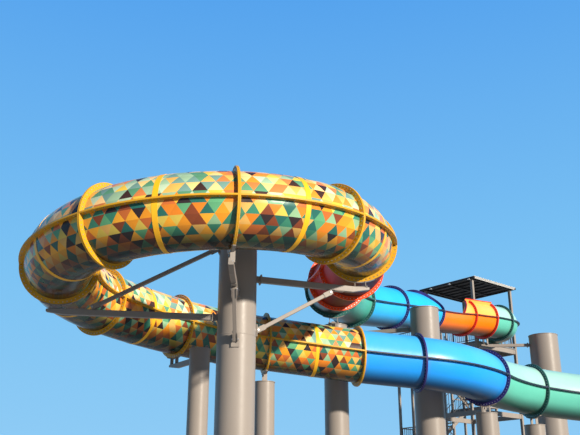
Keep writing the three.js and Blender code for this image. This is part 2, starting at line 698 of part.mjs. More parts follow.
// One landing tower between u0 and u1, with railings along its outer side, its back and, below the
// deck, its front. On its inner side, where the flights land, a beam carries each landing's edge.
// Outward is -1 or 1 along u.
function landingTower(u0, u1, outward, levels) {
  const side = TOWER_POST_SIDE / 2 + TOWER_POST_INSET;
  const outerU = outward < 0 ? u0 + side : u1 - side;
  const [beam0, beam1] = outward < 0 ? [u1 - LANDING_BEAM_WIDTH, u1] : [u0, u0 + LANDING_BEAM_WIDTH];
  const [plate0, plate1] = outward < 0 ? [u0, u1 - LANDING_BEAM_INSET] : [u0 + LANDING_BEAM_INSET, u1];
  const top = levels[0] + RAIL_HEIGHT;
  const pieces = [];
  for (const u of [u0 + side, u1 - side]) {
    for (const v of [laneFront + side, laneBack - side]) {
      pieces.push(postWithFoot(u, v, TOWER_POST_SIDE, top));
    }
  }
  for (const level of levels) {
    pieces.push(deckBox(plate0, plate1, laneFront, laneBack, level - LANDING_THICKNESS, level));
    const beamHigh = level - LANDING_BEAM_INSET;
    const [v0, v1] = [laneFront + LANDING_BEAM_INSET, laneBack - LANDING_BEAM_INSET];
    pieces.push(deckBox(beam0, beam1, v0, v1, beamHigh - LANDING_BEAM_DEPTH, beamHigh));
    for (const z of [level + RAIL_HEIGHT - RAIL_SIDE, level + RAIL_HEIGHT / 2]) {
      const [front, back] = [laneFront + side, laneBack - side];
      pieces.push(deckBar([outerU, front, z], [outerU, back, z], RAIL_SIDE, RAIL_SIDE));
      for (const v of level < deckTop ? [front, back] : [back]) {
        pieces.push(deckBar([u0 + side, v, z], [u1 - side, v, z], RAIL_SIDE, RAIL_SIDE));
      }
    }
  }
  return join(pieces);
}

const levelAt = (flights) => deckTop - flights * flightRise;
const towerLeft = stairLeft - LANDING_LENGTH;
const towerRight = stairRight + LANDING_LENGTH;
const leftTower = landingTower(towerLeft, stairLeft, -1, [levelAt(0), levelAt(2)]);
const rightTower = landingTower(stairRight, towerRight, 1, [levelAt(1), levelAt(3)]);
addMesh('stair_tower_left', toGeometry(leftTower), materials.steel);
addMesh('stair_tower_right', toGeometry(rightTower), materials.steel);

// One flight: treads between two stringers, with a handrail on each side. The stringers are cut plumb
// at the landings' edges, and level at the ground.
function flight(uTop, uFoot, vLow, topLevel) {
  const pieces = [];
  const way = Math.sign(uFoot - uTop);
  const vHigh = vLow + STAIR_WIDTH;
  for (let i = 1; i < RISERS_PER_FLIGHT; i += 1) {
    const z = topLevel - i * riser;
    const ends = [
      uTop + way * ((i - 1) * TREAD_GOING + TREAD_GAP),
      uTop + way * (i * TREAD_GOING - TREAD_GAP),
    ];
    const [v0, v1] = [vLow + STRINGER_INSET, vHigh - STRINGER_INSET];
    pieces.push(deckBox(Math.min(...ends), Math.max(...ends), v0, v1, z - TREAD_THICKNESS, z));
  }
  const lineAt = (u, lift) => topLevel - Math.abs(u - uTop) * riser / TREAD_GOING - riser / 2 + lift;
  const sloping = (v, end, lift, width, depth) => {
    const [u0, u1] = [uTop + way * end, uFoot - way * end];
    return deckBar([u0, v, lineAt(u0, lift)], [u1, v, lineAt(u1, lift)], width, depth);
  };
  const [b0, b1] = [-BALUSTER_LENGTH / 2, BALUSTER_LENGTH / 2];
  for (const v of [vLow + STRINGER_INSET, vHigh - STRINGER_INSET]) {
    pieces.push(sloping(v, -STRINGER_OVERRUN, -STRINGER_DEPTH / 3, STRINGER_WIDTH, STRINGER_DEPTH));
    pieces.push(sloping(v, STAIR_RAIL_END, STAIR_RAIL_LIFT, STAIR_RAIL_SIDE, STAIR_RAIL_SIDE));
    const railRun = Math.abs(uFoot - uTop) - 2 * STAIR_RAIL_END;
    for (let k = 0; k <= BALUSTER_BAYS; k += 1) {
      const u = uTop + way * (STAIR_RAIL_END + railRun * k / BALUSTER_BAYS);
      const [v0, v1] = [v - BALUSTER_WIDTH / 2, v + BALUSTER_WIDTH / 2];
      const [z0, z1] = [lineAt(u, -STRINGER_DEPTH / 3), lineAt(u, STAIR_RAIL_LIFT)];
      pieces.push(deckBox(u + b0, u + b1, v0, v1, z0, z1));
    }
  }
  const [cut0, cut1] = [Math.min(uTop, uFoot) + JOINT_GAP, Math.max(uTop, uFoot) - JOINT_GAP];
  const span = deckBox(cut0, cut1, vLow, vHigh, 0, topLevel + 2 * STAIR_RAIL_LIFT);
  return join(pieces).intersect(span);
}

for (let i = 0; i < STAIR_FLIGHTS; i += 1) {
  const [uTop, uFoot] = i % 2 === 0 ? [stairLeft, stairRight] : [stairRight, stairLeft];
  const lane = i % 2 === 0 ? laneFront : laneFront + STAIR_WIDTH + LANE_GAP;
  const steps = flight(uTop, uFoot, lane, levelAt(i));
  addMesh(`stair_flight_${i + 1}`, toGeometry(steps), materials.deck);
}

export default tower;
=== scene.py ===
"""Looks of the water slide tower: glossy fibreglass tubes with bolted flanges, a painted steel
column with arms, and a roofed start deck with its stair. Metres, +Z up."""

import math

import bmesh
import bpy
from mathutils import Matrix, Vector


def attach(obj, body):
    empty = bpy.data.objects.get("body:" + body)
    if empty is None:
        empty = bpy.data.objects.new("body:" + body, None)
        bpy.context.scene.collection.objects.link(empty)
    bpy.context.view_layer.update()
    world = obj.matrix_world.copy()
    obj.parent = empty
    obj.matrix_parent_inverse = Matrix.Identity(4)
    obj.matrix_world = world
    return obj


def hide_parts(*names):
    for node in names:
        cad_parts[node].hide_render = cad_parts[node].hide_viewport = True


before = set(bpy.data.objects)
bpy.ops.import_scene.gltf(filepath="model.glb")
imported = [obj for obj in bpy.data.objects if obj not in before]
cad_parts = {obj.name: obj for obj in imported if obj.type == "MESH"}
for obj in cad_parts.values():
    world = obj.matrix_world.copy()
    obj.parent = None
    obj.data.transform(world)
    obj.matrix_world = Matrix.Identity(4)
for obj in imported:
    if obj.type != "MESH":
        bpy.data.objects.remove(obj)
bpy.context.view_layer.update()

# Gap between two parts that touch in the real object, and half of it on each side
JOINT_GAP = 0.0004
HALF_GAP = JOINT_GAP / 2
# How deep a surface sinks into its neighbour where the two would share a plane
OVERLAP = 0.001
# Bevels, and the least angle between two faces that is drawn as an edge
BEVEL = 0.006
BEVEL_SHARE = 0.12
SHARP_ANGLE = math.radians(32)

# Tube sections
SHELL_RADIUS = 0.7
FLANGE_RADIUS = 0.8
SHELL_THICKNESS = 0.014
INNER_RADIUS = SHELL_RADIUS - SHELL_THICKNESS
RING_THICKNESS = 0.022
SEAM_THICKNESS = 0.018
EDGE_ROUND = 0.004
BAND_WIDTH = 0.085
BAND_THICKNESS = 0.004
BAND_DEPTH = 0.002
ARC_STEPS = 28
ROW_SPACING = 0.16
RIM_WIDTH = 0.03

# How far below the seam the painted shade of the underside begins, as a share of the radius, and its
# depth
KEEL_SHADE_FROM = 0.5
KEEL_SHADE = 0.85

# Covers beside the open flume: the legs of the inlet that they end on, and how far they reach
COVER_LEG = 5
COVER_END = 0.985
COVER_LEAN = 1.4
HOOD_LEG = 6
HOOD_START = 0.64
HOOD_LEAN = 0.89
HOOD_ANGLE = math.radians(54)
HOOD_RIM_RADII = (0.828, 0.86)

# Bolts. Each step of an anchor bolt: its radius against the rod's, its foot, its top and its sides.
BOLT_CIRCLE = 0.757
BOLTS_PER_RING = 56
BOLT_HEAD = 0.011
BOLT_HEIGHT = 0.011
SEAM_BOLT_SPACING = 0.17
PLATE_BOLT_INSET = 0.028
ANCHOR_RADIUS = 0.016
ANCHOR_INSET = 0.09
ANCHOR_STEPS = ((2.3, 0.0, 0.006, 20), (1.7, 0.006, 0.035, 6), (1.0, 0.035, 0.075, 16))
POST_ANCHOR_RADIUS = 0.006
POST_ANCHOR_OFFSET = 0.014
POST_PLATE_TOP = 0.025

# Columns
MAIN_RADIUS = 0.381
MAIN_HEIGHT = 7.3
PIPE_LENGTH = 2.4
CAP_PLATE = 0.02
CAP_MARGIN = 0.014
CAP_BEVEL = 0.003
WELD_HALF = 0.009
WELD_CROWN = 0.003
WELD_RISE = 0.004
LOWEST_WELD = 0.6
FILLET = 0.012
BASE_PLATE = 0.04
BASE_MARGIN = 0.26
RIBS = 8
RIB_REACH = 0.19
RIB_HEIGHT = 0.32
RIB_THICKNESS = 0.016
RIB_TOE = 0.05
RIB_ROOT = 0.004
LUG_OFFSET = 0.16
LUG_HALF = 0.008
LUG_OUTLINE = ((-0.05, 0), (0.05, 0), (0.045, 0.06), (0.02, 0.09), (-0.02, 0.09), (-0.045, 0.06))

# Arms, saddles and struts
ARM_WIDTH = 0.1
ARM_DEPTH = 0.12
ARM_TIP_DEPTH = 0.055
ARM_HEAD = 0.18
ARM_STUB = 0.07
ARM_END_PLATE = (0.17, 0.18)
END_PLATE = 0.014
BEND_OVERLAP = 0.005
BRACE_SIDE = 0.075
BRACE_PLATE = (0.16, 0.24)
BRACE_PLATE_THICKNESS = 0.02
BRACE_PLATE_OFFSET = 0.012
BRACE_PAD = (0.2, ARM_WIDTH, 0.014)
BRACE_PAD_OFFSET = 0.008
EAR_SIZE = (0.19, 0.1)
EAR_THICKNESS = 0.012
PIN_RADIUS = 0.018
PIN_END = 0.03
PIN_PLACE = 0.03
SADDLE_BAND = 0.016
SADDLE_REACH = math.radians(22)
SADDLE_WIDTH = 0.06
SADDLE_GAP = 0.0008
SADDLE_STEPS = 20
SOLE_BOLT_INSET = (0.02, 0.018)
STUB_OFFSET = 0.11
STUB_WIDTH = 0.09
STUB_SINK = 0.002
STUB_RISE = 0.01
SOLE_HALF = 0.15
UNDER_SADDLE_HEIGHT = 0.2

# Start deck and stair
DECK_ANGLE = 37
DECK_WIDTH = 3.0
DECK_DEPTH = 2.8
DECK_THICKNESS = 0.06
MOUTH_SHIFT = -0.3
MOUTH_HALF = 0.87
ROOF_SIDE = 3.2
ROOF_THICKNESS = 0.11
ROOF_CLEAR_HEIGHT = 2.8
ROOF_CHANNEL = 0.07
ROOF_CAP = 0.03
PURLINS = 6
PURLIN_HALF = 0.025
PURLIN_LIFT = 0.02
CROSS_BEAM_HALF = 0.04
CROSS_BEAM_INSET = 0.06
FASCIA_STEPS = 4
FASCIA_REACH = 0.036
FASCIA_LEAN = 0.012
FASCIA_GROOVE = 0.004
SHEET_RIBS = 16
SHEET_RIB_HALF = 0.03
SHEET_THICKNESS = 0.012
EDGE_INSET = 0.01
LAMP_PLACES = (0.1, 1.2, 2.3)
LAMP_HALF = (0.05, 0.06)
LAMP_DEPTH = 0.03
LAMP_GAP = 0.0005
FLOOR_BOARDS = 20
FLOOR_BOARD_GAP = 0.012
FLOOR_BOARD_HEIGHT = 0.005
FLOOR_BOARD_RISE = 0.004
POST_SIDE = 0.12
BEAM_SPACING = 2.9
BEAM_LEVELS = 3
SPLICE_SIZE = (0.16, 0.094, 0.15)
SPLICE_OFFSET = 0.09
SPLICE_DROP = 0.1
SPLICE_BOLT_OFFSET = 0.045
SPLICE_BOLT_REACH = 0.047
RAIL_HEIGHT = 1.1
RAIL_SIDE = 0.042
RAIL_POST_SIDE = 0.052
BALUSTER_RADIUS = 0.009
BALUSTER_SPACING = 0.115
FOOT_RAIL_HEIGHT = 0.1
FOOT_RAIL_RADIUS = 0.014
RAIL_BAY = 1.2
RAIL_FOOT = 0.05
RAIL_FOOT_THICKNESS = 0.01
STAIR_WIDTH = 1.0
FLIGHTS = 4
RISERS = 12
GOING = 0.26
TREAD_GAP = 0.003
LANDING_LENGTH = 1.1
LANE_GAP = 0.12
LANDING_BOARDS = 14
LANDING_BOARD_GAP = 0.014
LANDING_BOARD_HEIGHT = 0.005
LANDING_BOARD_END = 0.16
LANDING_BOARD_INSET = 0.02
GRATING_BARS = 7
GRATING_HALF = 0.003
GRATING_DEPTH = 0.03
CARRIER_HALF = 0.004
CARRIER_DEPTH = 0.034
NOSING_DEPTH = 0.035
NOSING_WIDTH = 0.03
STRINGER_INSET = 0.03
STRINGER_WEB = 0.01
STRINGER_TOE = 0.01
STRINGER_FOOT = -0.1833
STRINGER_TOP = 0.0367
STRINGER_FLANGE = 0.05
STRINGER_FLANGE_DEPTH = 0.012
# Web, lower flange and upper flange of a stringer: its foot and top over the step line, and its width
STRINGER_PLATES = (
    (STRINGER_FOOT, STRINGER_TOP, STRINGER_WEB),
    (STRINGER_FOOT, STRINGER_FOOT + STRINGER_FLANGE_DEPTH, STRINGER_FLANGE),
    (STRINGER_TOP - STRINGER_FLANGE_DEPTH, STRINGER_TOP, STRINGER_FLANGE),
)
RAIL_END = 0.12
RAIL_LIFT = 1.0
# Height over the step line, radius and sides of the handrail and of the knee rail under it
FLIGHT_RAILS = ((RAIL_LIFT, 0.02, 14), (0.5, 0.012, 8))
FLIGHT_BALUSTERS = 18
FLIGHT_POST_EVERY = 6
FLIGHT_POST_RADIUS = 0.018
FLIGHT_POST_FOOT = -0.05
TOWER_POST = 0.1
TOWER_INSET = 0.035

# Path: where the spiral begins, then length, turn and fall of each section
COIL_RADIUS = 3.12
COIL_FALL = 0.066
COIL_START = (2.54, 0.43, 6.98)
COIL_HEADING = 261
COIL_TURNS = (34, 39, 43, 46, 42)
LOWER_LEGS = (
    (2.42, -20, 0.17),
    (2.48, -28, 0.21),
    (2.50, 0, 0.23),
    (1.70, -3, 0.11),
    (2.50, 45, 0.19),
    (2.30, -30, 0.17),
    (2.30, -15, 0.16),
)
INLET_LEGS = (
    (2.70, 9, -0.30),
    (1.93, 6, -0.22),
    (1.45, -16, -0.16),
    (2.63, -19.5, -0.28),
    (3.11, -6, -0.51),
    (3.46, 1, -0.54),
    (3.07, -14, -0.395),
    (1.58, -7, -0.12),
    (1.02, 5.5, -0.04),
    (1.45, 87, -0.045),
)

# Light: a low warm sun from the front right, and a sky whose strength grows from the camera's side
# to the far side, eased between two shares of the direction's Y
SUN_STRENGTH = 7.6
SUN_WIDTH = math.radians(2.5)
SUN_COLOUR = (1.0, 0.90, 0.76)
SUN_DIRECTION = (-0.64, 0.77, -0.32)
SKY_STRENGTH = {"From Min": -0.3, "From Max": 0.5, "To Min": 0.4}
# Pale blue near the horizon and deeper overhead, by the height of the direction
SKY_SHADES = (
    (0.0, (0.30, 0.62, 0.92)),
    (1.0, (0.02, 0.07, 0.20)),
    (0.28, (0.20, 0.54, 0.90)),
    (0.58, (0.095, 0.37, 0.85)),
    (0.75, (0.03, 0.13, 0.36)),
)
FLOOR_COLOUR = (0.42, 0.41, 0.39)
FLOOR_REACH = 150.0
FLOOR_LEVEL = -0.001

# Camera, as the photograph was taken
IMAGE_WIDTH = 580
FOCAL_PIXELS = 806.64
SENSOR_WIDTH = 36
CAMERA_PLACE = (0.025, -15.61, 1.6)
CAMERA_PITCH = 20.39
CAMERA_HEADING = 3.756
CAMERA_REACH = 300


# Path
UP = Vector((0, 0, 1))


class Station:
    """A place on the tube's centre line, with its level heading."""

    def __init__(self, centre, heading):
        angle = math.radians(heading)
        self.centre = Vector(centre)
        self.heading = heading
        self.forward = Vector((math.cos(angle), math.sin(angle), 0))
        self.side = Vector((math.sin(angle), -math.cos(angle), 0))

    def point(self, right, up, ahead=0.0):
        return self.centre + self.side * right + self.forward * ahead + UP * up


def along(start, leg, part):
    length, turn, fall = leg
    angle = math.radians(turn * part)
    chord = length * part
    if abs(angle) > 1e-6:
        chord *= math.sin(angle / 2) / (angle / 2)
    middle = math.radians(start.heading) + angle / 2
    shift = Vector((chord * math.cos(middle), chord * math.sin(middle), -fall * part))
    return Station(start.centre + shift, start.heading + turn * part)


def walk(start, legs):
    rings = [start]
    for leg in legs:
        rings.append(along(rings[-1], leg, 1))
    return rings


def coil_leg(turn):
    length = COIL_RADIUS * math.radians(turn)
    return (length, -turn, length * COIL_FALL)


FLOW_LEGS = tuple(coil_leg(turn) for turn in COIL_TURNS) + LOWER_LEGS
flow_rings = walk(Station(COIL_START, COIL_HEADING), FLOW_LEGS)
inlet_rings = walk(Station(COIL_START, COIL_HEADING - 180), INLET_LEGS)


# Materials
COAT_ROUGHNESS = 0.06
SPECULAR = 0.22
DUST = (0.16, 0.12, 0.07)
DUST_SHARE = 0.55
DUST_FADE = 7.0
# Colour that the painted shade towards a tube's keel darkens to
KEEL_SHADE_COLOUR = (0.006, 0.013, 0.012)
CHALK_SHARE = 0.08
BLEACHED = (0.75, 0.82, 0.85)
ZINC = (0.5, 0.52, 0.56)
ZINC_FLAKES = ((0.30, 0.32, 0.36), (0.62, 0.64, 0.68))


def shader(name, colour, roughness, metallic=0.0, coat=0.0):
    material = bpy.data.materials.new(name)
    material.use_nodes = True
    surface = material.node_tree.nodes["Principled BSDF"]
    surface.inputs["Base Color"].default_value = (*colour, 1)
    surface.inputs["Roughness"].default_value = roughness
    surface.inputs["Metallic"].default_value = metallic
    surface.inputs["Coat Weight"].default_value = coat
    surface.inputs["Coat Roughness"].default_value = COAT_ROUGHNESS
    surface.inputs["Specular IOR Level"].default_value = SPECULAR
    return material, material.node_tree, surface


def node(tree, kind, links=None, **settings):
    """A new node: settings whose names are sockets go to the sockets, others to the node itself."""
    made = tree.nodes.new(kind)
    for key, value in settings.items():
        if key in made.inputs:
            made.inputs[key].default_value = value
        else:
            setattr(made, key, value)
    for socket, source in (links or {}).items():
        tree.links.new(source, made.inputs[socket])
    return made


def fill(tree, socket, value):
    """A colour or a number is written into a socket, and the output of a node is linked to it."""
    if isinstance(value, tuple):
        socket.default_value = (*value, 1)
    elif isinstance(value, (int, float)):
        socket.default_value = value
    else:
        tree.links.new(value, socket)


def maths(tree, operation, first, second=0.0):
    made = tree.nodes.new("ShaderNodeMath")
    made.operation = operation
    for socket, value in zip(made.inputs, (first, second)):
        fill(tree, socket, value)
    return made.outputs[0]


def mixed(tree, share, first, second, blend="MIX"):
    made = tree.nodes.new("ShaderNodeMix")
    made.data_type = "RGBA"
    made.blend_type = blend
    for socket_number, value in zip((0, 6, 7), (share, first, second)):
        fill(tree, made.inputs[socket_number], value)
    return made.outputs[2]


def ramp(tree, factor, stops, interpolation="LINEAR"):
    """Colours by a factor, from pairs of a place and a colour."""
    made = tree.nodes.new("ShaderNodeValToRGB")
    made.color_ramp.interpolation = interpolation
    elements = made.color_ramp.elements
    for i, (position, colour) in enumerate(stops):
        stop = elements[i] if i < 2 else elements.new(position)
        stop.position = position
        stop.color = (*colour, 1)
    tree.links.new(factor, made.inputs[0])
    return made.outputs[0]


def smooth_range(tree, value, limits):
    """A value eased between limits, which are given by the names of their sockets."""
    made = node(tree, "ShaderNodeMapRange", {"Value": value}, interpolation_type="SMOOTHSTEP", **limits)
    return made.outputs[0]


def place(tree):
    return node(tree, "ShaderNodeTexCoord").outputs["Object"]


def noise(tree, scale, detail, stretch=(1, 1, 1)):
    mapping = node(tree, "ShaderNodeMapping", {"Vector": place(tree)}, Scale=stretch)
    made = node(tree, "ShaderNodeTexNoise", {"Vector": mapping.outputs[0]}, Scale=scale, Detail=detail)
    return made.outputs[0]


def add_bump(tree, surface, height, strength, distance):
    bump = node(tree, "ShaderNodeBump", {"Height": height}, Strength=strength, Distance=distance)
    tree.links.new(bump.outputs[0], surface.inputs["Normal"])


def darker(colour, share):
    return tuple(c * share for c in colour)


def soiled(tree, colour, edge):
    """Dust near the flanges and long faint streaks, as on a slide that stands outdoors."""
    near = maths(tree, "SUBTRACT", 1.0, maths(tree, "MULTIPLY", edge, DUST_FADE))
    near = maths(tree, "MAXIMUM", near, 0.0)
    streaks = noise(tree, scale=9.0, detail=5.0, stretch=(1, 1, 0.25))
    speckle = maths(tree, "MULTIPLY", streaks, DUST_SHARE)
    return mixed(tree, maths(tree, "MULTIPLY", near, speckle), colour, DUST)


def shaded_below(tree, colour, panel):
    """Painted shade: darker towards the keel of the tube, like an underside out of the sun."""
    along_wall = node(tree, "ShaderNodeSeparateXYZ", {"Vector": panel}).outputs["Y"]
    angle = maths(tree, "DIVIDE", maths(tree, "MULTIPLY", along_wall, -1.0), SHELL_RADIUS)
    depth = maths(tree, "SINE", angle)
    share = smooth_range(tree, depth, {"From Min": KEEL_SHADE_FROM, "To Max": KEEL_SHADE})
    return mixed(tree, share, colour, KEEL_SHADE_COLOUR)


def dusted_and_keel_shaded(tree, surface, colour, panel):
    """A tube's wall: its colour with dust, painted shade darkening it towards the keel, and the soft
    waves of a moulded laminate.
    """
    edge = node(tree, "ShaderNodeSeparateXYZ", {"Vector": panel}).outputs["Z"]
    base = shaded_below(tree, soiled(tree, colour, edge), panel)
    tree.links.new(base, surface.inputs["Base Color"])
    add_bump(tree, surface, noise(tree, scale=2.2, detail=3.0), strength=0.35, distance=0.02)


def panel_vector(tree):
    """Distance along the tube, distance round its wall, and distance to the nearer flange."""
    return node(tree, "ShaderNodeAttribute", attribute_name="panel").outputs["Vector"]


def gelcoat(name, colour, pale=BLEACHED, fade=0.04, gloss=1.0):
    """Glossy pigmented fibreglass with faint mottling."""
    material, tree, surface = shader(name, colour, roughness=0.5 - 0.2 * gloss, coat=0.1 * gloss)
    surface.inputs["Specular IOR Level"].default_value = 0.06 + 0.16 * gloss
    cloudy = maths(tree, "MULTIPLY", noise(tree, scale=1.3, detail=2.0), 0.5)
    base = mixed(tree, cloudy, colour, darker(colour, 0.7))
    faded = maths(tree, "MULTIPLY", noise(tree, scale=0.7, detail=4.0), fade)
    dusted_and_keel_shaded(tree, surface, mixed(tree, faded, base, pale), panel_vector(tree))
    return material


# Triangle mosaic: rows of equal triangles run along the tube, each in a colour picked at random.
TRIANGLE_SIDE = 0.215
TRIANGLE_ROW = 0.19
# Upper halves: paler, partly the slide's own pattern and partly painted sunlight
UPPER_COLOURS = (
    (0.80, 0.42, 0.10),
    (0.86, 0.58, 0.22),
    (0.30, 0.46, 0.30),
    (0.80, 0.26, 0.03),
    (0.46, 0.60, 0.42),
    (0.72, 0.40, 0.10),
    (0.10, 0.28, 0.16),
    (0.88, 0.56, 0.24),
    (0.62, 0.20, 0.06),
    (0.80, 0.52, 0.06),
    (0.16, 0.30, 0.26),
    (0.05, 0.025, 0.02),
)
# Lower halves: darker, partly the slide's own pattern and partly painted shade
LOWER_COLOURS = (
    (0.72, 0.27, 0.02),
    (0.10, 0.32, 0.16),
    (0.50, 0.13, 0.03),
    (0.02, 0.12, 0.10),
    (0.66, 0.38, 0.10),
    (0.24, 0.42, 0.24),
    (0.80, 0.36, 0.03),
    (0.20, 0.05, 0.02),
    (0.04, 0.20, 0.13),
    (0.66, 0.20, 0.02),
    (0.62, 0.46, 0.08),
    (0.03, 0.02, 0.022),
)


def mosaic(name, colours, seed):
    material, tree, surface = shader(name, colours[0], roughness=0.25, coat=0.2)
    panel = panel_vector(tree)
    parts = node(tree, "ShaderNodeSeparateXYZ", {"Vector": panel})
    row = maths(tree, "DIVIDE", parts.outputs["Y"], TRIANGLE_ROW)
    step = maths(tree, "DIVIDE", parts.outputs["X"], TRIANGLE_SIDE)
    slant = maths(tree, "SUBTRACT", step, maths(tree, "MULTIPLY", row, 0.5))
    in_row = maths(tree, "FRACT", row)
    in_slant = maths(tree, "FRACT", slant)
    points_down = maths(tree, "GREATER_THAN", maths(tree, "ADD", in_row, in_slant), 1.0)
    cell = node(tree, "ShaderNodeCombineXYZ", {
        "X": maths(tree, "FLOOR", slant),
        "Y": maths(tree, "FLOOR", row),
        "Z": maths(tree, "ADD", points_down, seed),
    })
    pick = node(tree, "ShaderNodeTexWhiteNoise", {"Vector": cell.outputs[0]}).outputs["Value"]
    flat = ramp(tree, pick, [(i / len(colours), c) for i, c in enumerate(colours)], "CONSTANT")
    slope = maths(tree, "SUBTRACT", in_row, maths(tree, "MULTIPLY", in_slant, 0.6))
    shade = maths(tree, "ADD", 0.93, maths(tree, "MULTIPLY", slope, 0.16))
    grey = node(tree, "ShaderNodeCombineXYZ", {"X": shade, "Y": shade, "Z": shade})
    shaded = mixed(tree, 1.0, flat, grey.outputs[0], "MULTIPLY")
    dusted_and_keel_shaded(tree, surface, shaded, panel)
    return material


def painted(name, colour, roughness, streak=0.35, metallic=0.0):
    """Coat of paint on steel or a moulded flange, with rain streaks and rubbed patches."""
    material, tree, surface = shader(name, colour, roughness, metallic, coat=0.1)
    rain = maths(tree, "MULTIPLY", noise(tree, scale=5.0, detail=4.0, stretch=(1, 1, 0.12)), streak)
    base = mixed(tree, rain, colour, darker(colour, 0.55))
    chalk = maths(tree, "MULTIPLY", noise(tree, scale=1.4, detail=5.0), CHALK_SHARE)
    base = mixed(tree, chalk, base, tuple(0.5 * c + 0.45 for c in colour))
    tree.links.new(base, surface.inputs["Base Color"])
    uneven = maths(tree, "MULTIPLY", noise(tree, scale=14.0, detail=2.0), 0.2)
    rough = maths(tree, "ADD", roughness - 0.08, uneven)
    tree.links.new(rough, surface.inputs["Roughness"])
    add_bump(tree, surface, noise(tree, scale=90.0, detail=2.0), strength=0.12, distance=0.002)
    return material


def galvanised(name):
    material, tree, surface = shader(name, ZINC, roughness=0.42, metallic=0.8)
    flakes = node(tree, "ShaderNodeTexVoronoi", {"Vector": place(tree)}, Scale=60.0)
    grey = mixed(tree, flakes.outputs["Distance"], *ZINC_FLAKES)
    tree.links.new(grey, surface.inputs["Base Color"])
    return material


LOOKS = {
    "mosaic_upper": mosaic("mosaic_upper", UPPER_COLOURS, seed=3.0),
    "mosaic_lower": mosaic("mosaic_lower", LOWER_COLOURS, seed=11.0),
    "red": gelcoat("red_gelcoat", (0.58, 0.022, 0.006), fade=0.0, gloss=0.0),
    # A darker copy of the teal, for the first section of the teal inlet: painted shade
    "dark_teal": gelcoat("dark_teal_gelcoat", (0.003, 0.09, 0.10)),
    "teal": gelcoat("teal_gelcoat", (0.05, 0.38, 0.30)),
    "blue": gelcoat("blue_gelcoat", (0.0, 0.28, 0.85)),
    "sky": gelcoat("sky_gelcoat", (0.004, 0.42, 0.92)),
    "orange": gelcoat("orange_gelcoat", (0.95, 0.16, 0.0), (1.0, 0.5, 0.06), 0.2),
    "mint": gelcoat("mint_gelcoat", (0.09, 0.44, 0.34)),
    # Paler copies for the upper halves: painted sunlight and sheen
    "pale_mint": gelcoat("pale_mint_gelcoat", (0.20, 0.50, 0.43), fade=0.3),
    "pale_blue": gelcoat("pale_blue_gelcoat", (0.015, 0.35, 0.82), (0.6, 0.85, 1.0), 0.12),
    "amber": gelcoat("amber_gelcoat", (0.98, 0.36, 0.03), (1.0, 0.72, 0.36), 0.4),
    "yellow_trim": painted("yellow_trim", (0.92, 0.46, 0.0), 0.35),
    # Darker copy of the yellow, for the flanges and seams of the mosaic tubes: partly their own tone,
    # partly painted shade
    "ochre_trim": painted("ochre_trim", (0.62, 0.31, 0.0), 0.4),
    "vermilion_trim": painted("vermilion_trim", (0.80, 0.06, 0.0), 0.35),
    "red_trim": painted("red_trim", (0.75, 0.012, 0.004), 0.35),
    "maroon_trim": painted("maroon_trim", (0.17, 0.012, 0.01), 0.4),
    "navy_trim": painted("navy_trim", (0.014, 0.008, 0.13), 0.45),
    "dark_seam": painted("dark_seam", (0.006, 0.016, 0.05), 0.4),
    "green_trim": painted("green_trim", (0.012, 0.11, 0.10), 0.4),
    "steel": painted("column_paint", (0.245, 0.212, 0.185), 0.38, 0.3),
    "dark_steel": painted("railing_paint", (0.05, 0.055, 0.065), 0.45),
    "deck": painted("deck_paint", (0.16, 0.17, 0.18), 0.6, 0.5),
    "nosing": painted("nosing_paint", (0.55, 0.36, 0.03), 0.5, 0.5),
    # Near-black underside of the roof: painted shade
    "roof_under": painted("roof_underside_painted_shade", (0.018, 0.016, 0.018), 0.6),
    "roof_top": painted("roof_top_sheet", (0.58, 0.57, 0.55), 0.45, 0.4),
    "lamp": painted("lamp_housing", (0.75, 0.75, 0.72), 0.3, 0.15),
    "bolt": galvanised("galvanised_bolts"),
}


# Mesh code

def spread(low, high, count):
    """Evenly spaced values from low to high, with both of them."""
    return [low + (high - low) * k / count for k in range(count + 1)]


def linked(name, data):
    """A new object in the scene."""
    made = bpy.data.objects.new(name, data)
    bpy.context.scene.collection.objects.link(made)
    return made


class Shape:
    """Points and faces gathered for one piece, each face in one of the piece's looks."""

    def __init__(self):
        self.points = []
        self.faces = []
        self.looks = []
        self.panel = []

    def add(self, points, faces, look, panel=None):
        base = len(self.points)
        self.points.extend(points)
        self.faces.extend(tuple(base + i for i in face) for face in faces)
        self.looks.extend([look] * len(faces))
        self.panel.extend(panel or [(0.0, 0.0, 1.0)] * len(points))

    def make(self, name, replaces=()):
        mesh = bpy.data.meshes.new(name)
        mesh.from_pydata([tuple(p) for p in self.points], [], self.faces)
        names = list(dict.fromkeys(self.looks))
        for look in names:
            mesh.materials.append(LOOKS[look])
        mesh.polygons.foreach_set("material_index", [names.index(look) for look in self.looks])
        mesh.polygons.foreach_set("use_smooth", [True] * len(self.faces))
        panel = mesh.attributes.new("panel", "FLOAT_VECTOR", "POINT")
        panel.data.foreach_set("vector", [value for row in self.panel for value in row])
        edited = bmesh.new()
        edited.from_mesh(mesh)
        bmesh.ops.recalc_face_normals(edited, faces=edited.faces)
        edited.to_mesh(mesh)
        edited.free()
        mesh.set_sharp_from_angle(angle=SHARP_ANGLE)
        made = linked(name, mesh)
        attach(made, "root")
        if replaces:
            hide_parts(*replaces)


def loft(shape, rows, look, panels=None):
    """A solid through rows of points that follow the same outline, with a cap at both ends."""
    count = len(rows[0])
    points = [p for row in rows for p in row]
    panel = [p for row in panels for p in row] if panels else None
    faces = []
    for r in range(len(rows) - 1):
        for i in range(count):
            a, b = r * count + i, r * count + (i + 1) % count
            faces.append((a, a + count, b + count, b))
    last = (len(rows) - 1) * count
    faces.append(tuple(range(count)))
    faces.append(tuple(last + i for i in range(count)))
    shape.add(points, faces, look, panel)


